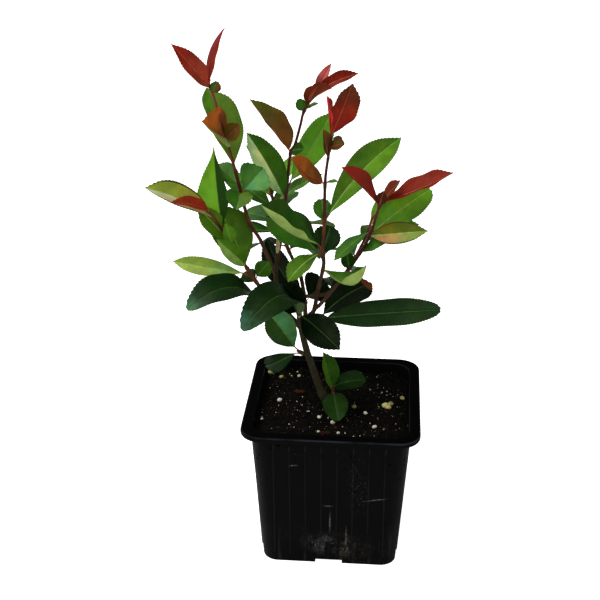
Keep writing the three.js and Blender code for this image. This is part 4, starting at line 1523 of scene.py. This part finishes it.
def upper_face(name, colour, tip, rough, gloss):
    f = Finish(name, Specular_IOR_Level=gloss, Specular_Tint=(0.75, 1, 0.65, 1))
    share, along, chance = f.attribute("blade")
    vein = veins(f)
    cloud = f.noise(170)
    hue = f.step(f.noise(60, detail=2), 0.35, 0.65)
    inward = f.math("SUBTRACT", 1.0, f.math("ABSOLUTE", share))
    own = f.plus(f.times(chance, 0.3), f.times(inward, 0.16))
    tone = f.step(f.plus(f.times(cloud, 0.62), own), 0.3, 0.76)
    base = wandering(f, colour, hue, tone)
    if tip:
        colour_there, start, full = tip
        toward = f.step(f.plus(along, f.times(cloud, 0.2)), start + 0.1, full + 0.1)
        base = f.mix(toward, base, wandering(f, paint(colour_there), hue, tone))
    shows = VEIN["shows"] if max(colour) > max(paint(DARK)) else VEIN["shows_dark"]
    line = f.times(f.step(vein, 0.9, 1.0), shows)
    pale = [lerp(c, p, 0.4) for c, p in zip(colour, paint(PALE))]
    f.set("Base Color", f.mix(line, base, toned(pale, 1.0)))
    satin = f.step(f.noise(500, detail=2), 0.3, 0.7, to_low=rough - 0.05, to_high=rough + 0.08)
    f.set("Roughness", satin)
    quilt = f.math("SUBTRACT", 1.0, f.math("POWER", vein, 2.0))
    f.bump(f.plus(f.times(quilt, 0.35), f.times(cloud, 0.9)), depth=0.2, strength=0.5)
    return f.material


def underside(name, colour):
    f = Finish(name, Specular_IOR_Level=0.08)
    vein = veins(f)
    cloud = f.noise(210)
    base = f.mix(f.step(cloud, 0.3, 0.7), toned(colour, 0.84), toned(colour, 1.14))
    line = f.times(f.step(vein, 0.8, 1.0), 0.4)
    f.set("Base Color", f.mix(line, base, toned(colour, 1.3)))
    f.set("Roughness", f.step(cloud, 0.3, 0.7, to_low=0.55, to_high=0.7))
    f.bump(f.math("POWER", vein, 6.0), depth=0.12, strength=0.4)
    return f.material


def soft_skin(name, low, high, rough):
    """A smooth skin, such as a stalk's, that wanders between two colours."""
    f = Finish(name, Specular_IOR_Level=0.2)
    cloud = f.noise(380)
    f.set("Base Color", f.mix(f.step(cloud, 0.3, 0.7), solid(low), solid(high)))
    f.set("Roughness", f.step(cloud, 0.2, 0.8, to_low=rough, to_high=rough + 0.12))
    f.bump(cloud, depth=0.08, strength=0.4)
    return f.material


GLOSS = {
    # age: roughness of the upper face and how strongly it mirrors
    "bud": (0.5, 0.1),
    "young": (0.5, 0.1),
    "turning": (0.5, 0.1),
    "grown": (0.46, 0.1),
    "old": (0.42, 0.07),
}
for tint, (age, above, below, _) in TINTS.items():
    MATERIALS[tint + "_upper"] = upper_face(f"{tint}_leaf", paint(above), TIPS.get(tint), *GLOSS[age])
    MATERIALS[tint + "_under"] = underside(f"{tint}_leaf_back", paint(below))
MATERIALS["green_rib"] = soft_skin("green_rib", (110, 144, 56), (150, 178, 92), 0.45)
MATERIALS["leaf_rib"] = soft_skin("leaf_rib", (60, 96, 36), (92, 128, 58), 0.45)
MATERIALS["dark_rib"] = soft_skin("dark_rib", (30, 60, 18), (50, 84, 30), 0.45)
MATERIALS["red_rib"] = soft_skin("red_rib", (128, 50, 32), (166, 86, 54), 0.45)
MATERIALS["stalk"] = soft_skin("leaf_stalk", (96, 34, 26), (142, 70, 40), 0.42)
MATERIALS["bud"] = soft_skin("bud_scales", (92, 26, 20), (140, 52, 34), 0.4)
print("finishes:", len(MATERIALS))

# %% [markdown]
# The skin of a twig ages along it: tan and woody at its foot, dark red-brown and smooth where it grew this
# spring, with patches that the sun has flushed. The woody share is a value that the twig's points carry.

# %% Twig finish


def twig_skin():
    f = Finish("twig_skin", Specular_IOR_Level=0.15)
    climb, woody, _ = f.attribute("climb")
    cloud = f.noise(300)
    grain = f.noise(1, f.stretched((1600, 1600, 300)))
    new = f.mix(cloud, solid((44, 16, 12)), solid((88, 34, 24)))
    wood = f.mix(grain, solid((44, 30, 20)), solid((88, 68, 46)))
    past_wood = f.math("SUBTRACT", climb, woody)
    turn = f.step(f.plus(past_wood, f.times(cloud, 0.16)), 0.0, 0.25)
    flushed = f.times(f.step(f.noise(45, detail=2), 0.46, 0.62), 0.6)
    new = f.mix(flushed, new, solid((134, 70, 40)))
    f.set("Base Color", f.mix(turn, wood, new))
    f.set("Roughness", f.step(turn, 0.0, 1.0, to_low=0.75, to_high=0.42))
    f.bump(grain, depth=0.08, strength=0.6)
    return f.material


MATERIALS["twig"] = twig_skin()

# %% [markdown]
# ## Shoots and sprays
#
# Each mass of foliage is one stem with its leaves. The stems in front carry the leaves that a viewer can
# tell apart, each with its own way and size. The left shoot at the back follows a seeded rule: leaves in a
# spiral, long and hanging at the foot, short and upright at the tip. A leaf is left out where its midrib
# would leave the mass's space or pass too near a limb.

# %% Seeded growth
SPIRAL = 137.5
GROWTH = {
    "rise": {"foot": -28, "tip": 48, "power": 1.4, "stray": 8},
    "turn_stray": 12,
    "roll_stray": 25,
    "tip_share": 0.5,
    "long": (0.88, 1.08),
    "slimness": (0.4, 0.48),
    "tints": ["old", "dgreen", "green", "green", "mid", "bright"],
}
OPEN_AIR = ((-95, -75, GROUND), (75, 80, 280))  # two corners of the space that leaves may fill
SPACES = {"shoot_back_left": ((-85, 12, 115), (-2, 72, 215))}
BLADE_STATIONS = [0.1, 0.25, 0.42, 0.6, 0.76, 0.9, 1]
LIMB_STATIONS = np.linspace(0, 1, 21)


class Dice:
    """The solids' own random numbers, so that the same leaves grow."""

    FACTOR, PRIME = 16807, 2147483647

    def __init__(self, seed):
        self.state = seed

    def between(self, low, high):
        self.state = self.state * self.FACTOR % self.PRIME
        return lerp(low, high, self.state / self.PRIME)


def spiral(seed, start, count, open_to, spread, long):
    dice = Dice(seed)
    rows = []
    for k in range(count):
        climb = k / (count - 1)
        rise = GROWTH["rise"]
        turn = open_to + spread * ((k * SPIRAL) % 360 - 180)
        turn += dice.between(-GROWTH["turn_stray"], GROWTH["turn_stray"])
        lift = lerp(rise["foot"], rise["tip"], climb ** rise["power"])
        lift += dice.between(-rise["stray"], rise["stray"])
        length = long * lerp(1, GROWTH["tip_share"], climb) * dice.between(*GROWTH["long"])
        tint = GROWTH["tints"][int(climb * (len(GROWTH["tints"]) - 0.01))]
        wide = length * dice.between(*GROWTH["slimness"])
        roll = dice.between(-GROWTH["roll_stray"], GROWTH["roll_stray"])
        rows.append(leaf(lerp(start, 1, climb), turn, lift, length, wide, roll, tint))
    return rows


def keeps(stem, row, space):
    """True if a leaf's midrib stays in the mass's space and clear of the limbs."""
    _, base = leaf_foot(stem, row)
    walk, _ = midrib(row, leaf_axes(row), base, BLADE_STATIONS)
    low, high = np.array(space[0]), np.array(space[1])
    if not ((walk >= low) & (walk <= high)).all():
        return False
    for limb in LIMBS.values():
        line = np.array([limb.point(s) for s in LIMB_STATIONS])
        away = np.linalg.norm(walk[:, None] - line, axis=-1)
        if (away <= limb.thick + GAP).any():
            return False
    return True


# %% Stems of the shoots
shoot_left = branch(
    bough_left, 0.6, (230, 55),
    [(-37, -4, 169), (-42.7, -6, 181), (-48.6, -8, 208), (-57.6, -8, 242.5), (-60.3, -8, 247)], 1, 0.6,
)
shoot_middle = branch(
    bough_left, 0.78, (80, 50),
    [(-27, 10, 172), (-25.5, 12, 189), (-23.6, 13, 208), (-21.3, 13, 213), (-18.6, 13, 223),
     (-17, 13, 229.5), (-12.5, 13, 238)], 1, 0.6,
)
shoot_centre = branch(
    bough_right, 1, (-38, 76),
    [(-5.6, -7, 158), (-6, -8, 165.5), (-5.3, -9, 182.5), (-5, -10, 203), (-3.2, -12, 218),
     (-2.4, -12, 225.5)], 1, 0.6,
)
shoot_right = branch(
    bough_right, 0.45, (0, 35),
    [(-2.2, -4, 142), (7.6, -6, 157), (16, -8, 173), (20.3, -9, 188.5), (21.5, -9, 192)], 1, 0.6,
)
shoot_low_left = branch(
    bough_left, 0.22, (215, 40),
    [(-36.5, -5, 143), (-45, -10, 159.5), (-56.7, -17, 183.5), (-60.7, -18, 189.5)], 1, 0.6,
)
shoot_back_left = branch(
    bough_back, 1, (150, 58), [(-26, 23, 154), (-32, 26, 170), (-35, 27, 185)], 1, 0.6,
)
shoot_back_right = branch(
    bough_back, 0.6, (30, -5), [(-5, 22, 130), (4, 32, 138), (12.5, 34, 154), (17, 34, 168)], 1, 0.6,
)


def spur(parent, share, way, end):
    return branch(parent, share, way, [end], 0.9, 0.8)


spur_left = spur(bough_left, 0.17, (-125, 20), (-38, -9, 140))
spur_front = spur(trunk, 0.95, (-100, 20), (-18, -5, 130.5))
spur_trunk = spur(trunk, 0.52, (-165, 15), (-19.5, 1, 106.5))
spur_right = spur(bough_right, 0.3, (0, -40), (-6.8, -1.5, 126.2))
spur_back = spur(bough_back, 0.42, (85, -5), (-16.5, 17.5, 126))
sprout = Stem([(0.4, 3, GROUND), (-0.4, 3.4, 79.5), (-0.6, 3.6, 84)], 0.8, 0.6)
sprout.origin = np.array([0.6, 2.9, GROUND - 2])

# %% Leaves of the shoots
MASSES = {
    # name: stem, woody share, leaves
    "shoot_left": (shoot_left, 0.12, [
        leaf(0.97, -161, 51, 27, 11, 63, "red", outline="ovate", fold=30, bow=0),
        leaf(0.99, 37, 68, 26, 10, -139, "red", outline="ovate", fold=35, bow=-0.13, wave=0.03,
             under="ruby"),
        leaf(0.95, -34, 62, 6, 6, -133, "green", outline="oval", fold=24, bow=0.04, stalk=1, wave=0.05,
             right="umber", edge="darkbrown"),
        leaf(0.57, 126, 51, 41, 21, -10, "fresh", fold=20, left="bright"),
        leaf(0.73, -125, 37, 19, 24, 54, "orange", outline="ovate", bow=-0.04, stalk=1, left="pale"),
        leaf(0.5, 130, 13, 19, 10, 25, "green", outline="oval", stalk=1),
        # its right half is a painted highlight
        leaf(0.45, 38, 37, 14, 17, -44, "glossy", fold=8, right="shiny"),
        leaf(0.46, -90, -7, 17, 14, 11, "green", outline="oval", fold=25, stalk=1, left="fresh"),
        leaf(0.73, -39, 42, 12, 9, -101, "umber", outline="oval"),
    ]),
    "shoot_middle": (shoot_middle, 0.12, [
        leaf(0.61, 165, 49, 31, 21, 4, "bronze", outline="ovate", fold=28, bow=0),
        leaf(0.37, 38, 52, 39, 15, -65, "bright", stalk=6),
        leaf(0.99, -27, 29, 27, 8, -56, "ruby", bow=0.08),
        leaf(1, -20, 60, 17, 5, -88, "pink", outline="slim", fold=20),
        leaf(0.9, -40, 37, 21, 11, -45, "brown", fold=35, bow=0.08),
        leaf(0.92, -65, 42, 19, 7, -100, "brown", fold=35, bow=0.08),
        leaf(0.88, -130, 61, 7, 5.5, 125, "green", outline="oval", stalk=1),
        leaf(0.89, -35, 28, 9, 3.5, -35, "pale", outline="slim", stalk=1),
        leaf(0.62, -39, 19, 8, 7, -54, "dgreen", outline="oval", stalk=1),
        # its left half is painted lighter than its own colour: painted light on a half in shade
        leaf(0.31, 163, 57, 36, 16, 49, "green", outline="slim", fold=32, bow=0.13, left="mint"),
    ]),
    "shoot_centre": (shoot_centre, 0.3, [
        leaf(0.99, -23, 68, 27, 14, -136, "redbrown", fold=22),
        leaf(1, -102, 68, 21, 9, 81, "scarlet", outline="slim", bow=0),
        leaf(0.92, -15, 20, 7, 9, -39, "umber", bow=0.1),
        leaf(0.86, -118, 72, 15, 8, 94, "umber", outline="slim", bow=0),
        leaf(0.68, -133, 39, 25, 12, 63, "orange", outline="oval", fold=28, bow=-0.09, stalk=3),
        leaf(0.7, -35, 14, 7, 3.5, -17, "green", outline="slim", stalk=1),
        leaf(0.45, 107, 51, 10.5, 9, 13, "green", outline="oval", stalk=1.5),
        leaf(0.24, 68, 56, 13, 13.5, -23, "dark", outline="oval", stalk=1.5),
        leaf(0.45, 33, 39, 51, 17, -30, "bright", fold=15, bow=0.12, stalk=5, left="mid"),
        leaf(0.25, -143, -32, 20, 12, 13, "mid", bow=0.1),
        leaf(0.26, -147, 40, 39, 25, 22, "dgreen", fold=40, bow=-0.09, stalk=6, under="light"),
        leaf(0.22, 160, 26, 31, 20, 29, "green", fold=11, bow=0.11, stalk=4, wave=0.07, right="dark"),
        leaf(0.13, -34, 20, 27, 18, -8, "mid", fold=40, bow=-0.36, stalk=1, under="light"),
    ]),
    "shoot_right": (shoot_right, 0.3, [
        leaf(0.97, -160, 47, 27, 13, 35, "crimson", fold=35),
        leaf(0.99, 2, 25, 36, 14, -16, "ruby", bow=-0.03),
        leaf(0.99, -1, 52, 13, 8, -28, "brown", bow=0, stalk=2),
        leaf(0.97, -70, 60, 10, 6, -150, "darkbrown", bow=0),
        leaf(0.73, 35, 25, 36, 17, -36, "bright", outline="oval"),
        leaf(0.71, -38, 19, 35, 12, -73, "olive", bow=0.06, right="pinkedge", edge="bronze"),
        leaf(0.56, -29, 30, 15, 9, -34, "green", fold=20, stalk=2),
        leaf(0.76, -153, -34, 21, 8, 17, "green", stalk=2),
        leaf(0.4, -109, 67, 11, 7, 153, "dgreen", outline="oval", stalk=1),
    ]),
    "shoot_low_left": (shoot_low_left, 0.2, [
        leaf(0.91, -162, 29, 35, 14, 43, "yellow", bow=0.1, left="cream", edge="bronze"),
        leaf(0.96, -134, 25, 24, 8, 48, "russet", outline="slim", fold=35, bow=0.12, under="ruby"),
        leaf(0.77, 107, 60, 43, 21, 38, "dark", outline="lance", fold=35, bow=0.03, left="bright",
             tip="olive"),
        leaf(0.66, -168, 51, 23, 11, 58, "mid", stalk=2),
        leaf(0.42, 151, 60, 32, 21, 30, "mid", stalk=2),
        leaf(0.42, -125, 46, 28, 9, 99, "light", fold=25, stalk=2, right="mid"),
        leaf(0.32, -179, 9, 35, 9.5, 66, "light", fold=20, stalk=6, left="pale"),
        leaf(0.29, -13, 53, 11, 9, -91, "green"),
        leaf(0.27, 148, 19, 8, 9, 32, "dark", stalk=1),
        leaf(0.64, -101, 58, 16, 7, 141, "bright", fold=20, stalk=2),
    ]),
    "shoot_back_left": (
        shoot_back_left, 0.3,
        spiral(seed=8, start=0.22, count=16, open_to=90, spread=0.6, long=47),
    ),
    "shoot_back_right": (shoot_back_right, 0.3, [
        leaf(0.25, 100, -20, 38, 16, 10, "old"),
        leaf(0.35, 56, -33, 21, 16, -23, "old"),
        leaf(0.5, 89, -48, 37, 16, -78, "dgreen"),
        leaf(0.6, 110, -15, 33, 15, 10, "dgreen"),
        leaf(0.72, 75, -5, 30, 14, -10, "green"),
        leaf(0.82, 20, 5, 27, 12, -15, "green"),
        leaf(0.9, 60, 20, 24, 11, 0, "bright"),
        leaf(1, 10, 35, 20, 9, -20, "bright"),
        leaf(1, 43, 8, 17, 7, -37, "redbrown"),
    ]),
    "spray_left": (spur_left, 1.0, [
        # an old leaf with a painted sheen at its tip
        leaf(1, -145, 4, 38, 19, 19, "curled", outline="oval", bow=0.27, stalk=1),
    ]),
    "spray_front": (spur_front, 1.0, [
        # an old leaf with a painted sheen at its tip
        leaf(1, -129, 6, 38, 21, 18, "curled", outline="oval", bow=0.42, stalk=2),
        leaf(0.3, -45, -15, 30, 16, -34, "deep", stalk=3),
        leaf(1, -164, 62, 18, 15, 87, "deep", outline="oval", stalk=1.5),
    ]),
    "spray_trunk": (spur_trunk, 1.0, [
        # its right half is a painted highlight
        leaf(0.36, -126, 53, 36, 16, 109, "dgreen", outline="spoon", fold=22, stalk=5, right="shiny"),
        leaf(0.1, 146, -35, 25, 10, 95, "old"),
    ]),
    "spray_right": (spur_right, 1.0, [
        leaf(0.26, -15, 13, 59, 14.5, -47, "old", outline="strap", fold=6, bow=0.01, stalk=6),
        leaf(0.26, 35, 20, 31, 20, -19, "deep", tip="redbrown"),
    ]),
    "spray_back": (spur_back, 1.0, [
        leaf(1, -160, 62, 39, 16, 126, "deep"),
        leaf(1, 45, 27, 13, 20.5, -47, "deep"),
        leaf(1, 149, -16, 35, 17, 11, "old"),
    ]),
    "sprout_foot": (sprout, 0.2, [
        leaf(0.49, 158, 75, 23, 12, 25, "green", fold=35, bow=0, stalk=1, left="bright"),
        leaf(1, -5, 17, 17, 12, -27, "dark", outline="oval", bow=0.1, stalk=1),
        leaf(0.57, -81, -8, 23, 13, -9, "dark", outline="oval"),
    ]),
}

# %% Grow the masses
FIRST_SEED = 100
TWIG = {"step": 0.9, "fewest": 8, "sides": 12, "foot": 1.2}
JOINT = {"swell": 0.22, "spread": 1.2}  # where a leaf leaves its twig


def add_twig(parts, stem, woody, rows):
    """Adds a stem as a tube that starts inside its parent and swells where leaves leave it."""
    shares = np.linspace(0, 1, max(TWIG["fewest"], int(stem.length / TWIG["step"])))
    line = np.array([stem.point(s) for s in shares])
    radii = stem.radius(shares)
    for row in rows:
        away = (shares - row["at"]) * stem.length
        radii = radii * (1 + JOINT["swell"] * np.exp(-(away**2) / JOINT["spread"]))
    line = np.vstack([stem.origin, line])
    radii = np.concatenate([[stem.thick * TWIG["foot"]], radii])
    points, faces = tube(line, radii, TWIG["sides"])
    climb = np.repeat(np.concatenate([[0], shares]), TWIG["sides"])
    climb = np.concatenate([climb, [0, 1]])
    values = np.column_stack([climb, np.full_like(climb, woody), climb * 0])
    parts.add(points, faces, "twig", None, climb=values)


twigs = Parts()
for number, (name, (stem, woody, rows)) in enumerate(MASSES.items()):
    dice = np.random.default_rng(FIRST_SEED + number)
    kept = [row for row in rows if keeps(stem, row, SPACES.get(name, OPEN_AIR))]
    blades = Parts()
    for row in kept:
        axes = leaf_axes(row)
        _, base = leaf_foot(stem, row)
        add_blade(blades, row, axes, base, dice)
        add_stalk(blades, stem, row, axes)
        add_bud(twigs, stem, row["at"], unit(heading(row["turn"], row["rise"])), dice.uniform(0.6, 1.0))
    add_twig(twigs, stem, woody, kept)
    piece = blades.build(f"leaves_{name}", MATERIALS)
    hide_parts(name)
    print(f"{name}: {len(kept)} of {len(rows)} leaves kept")
twigs.build("twigs", MATERIALS)
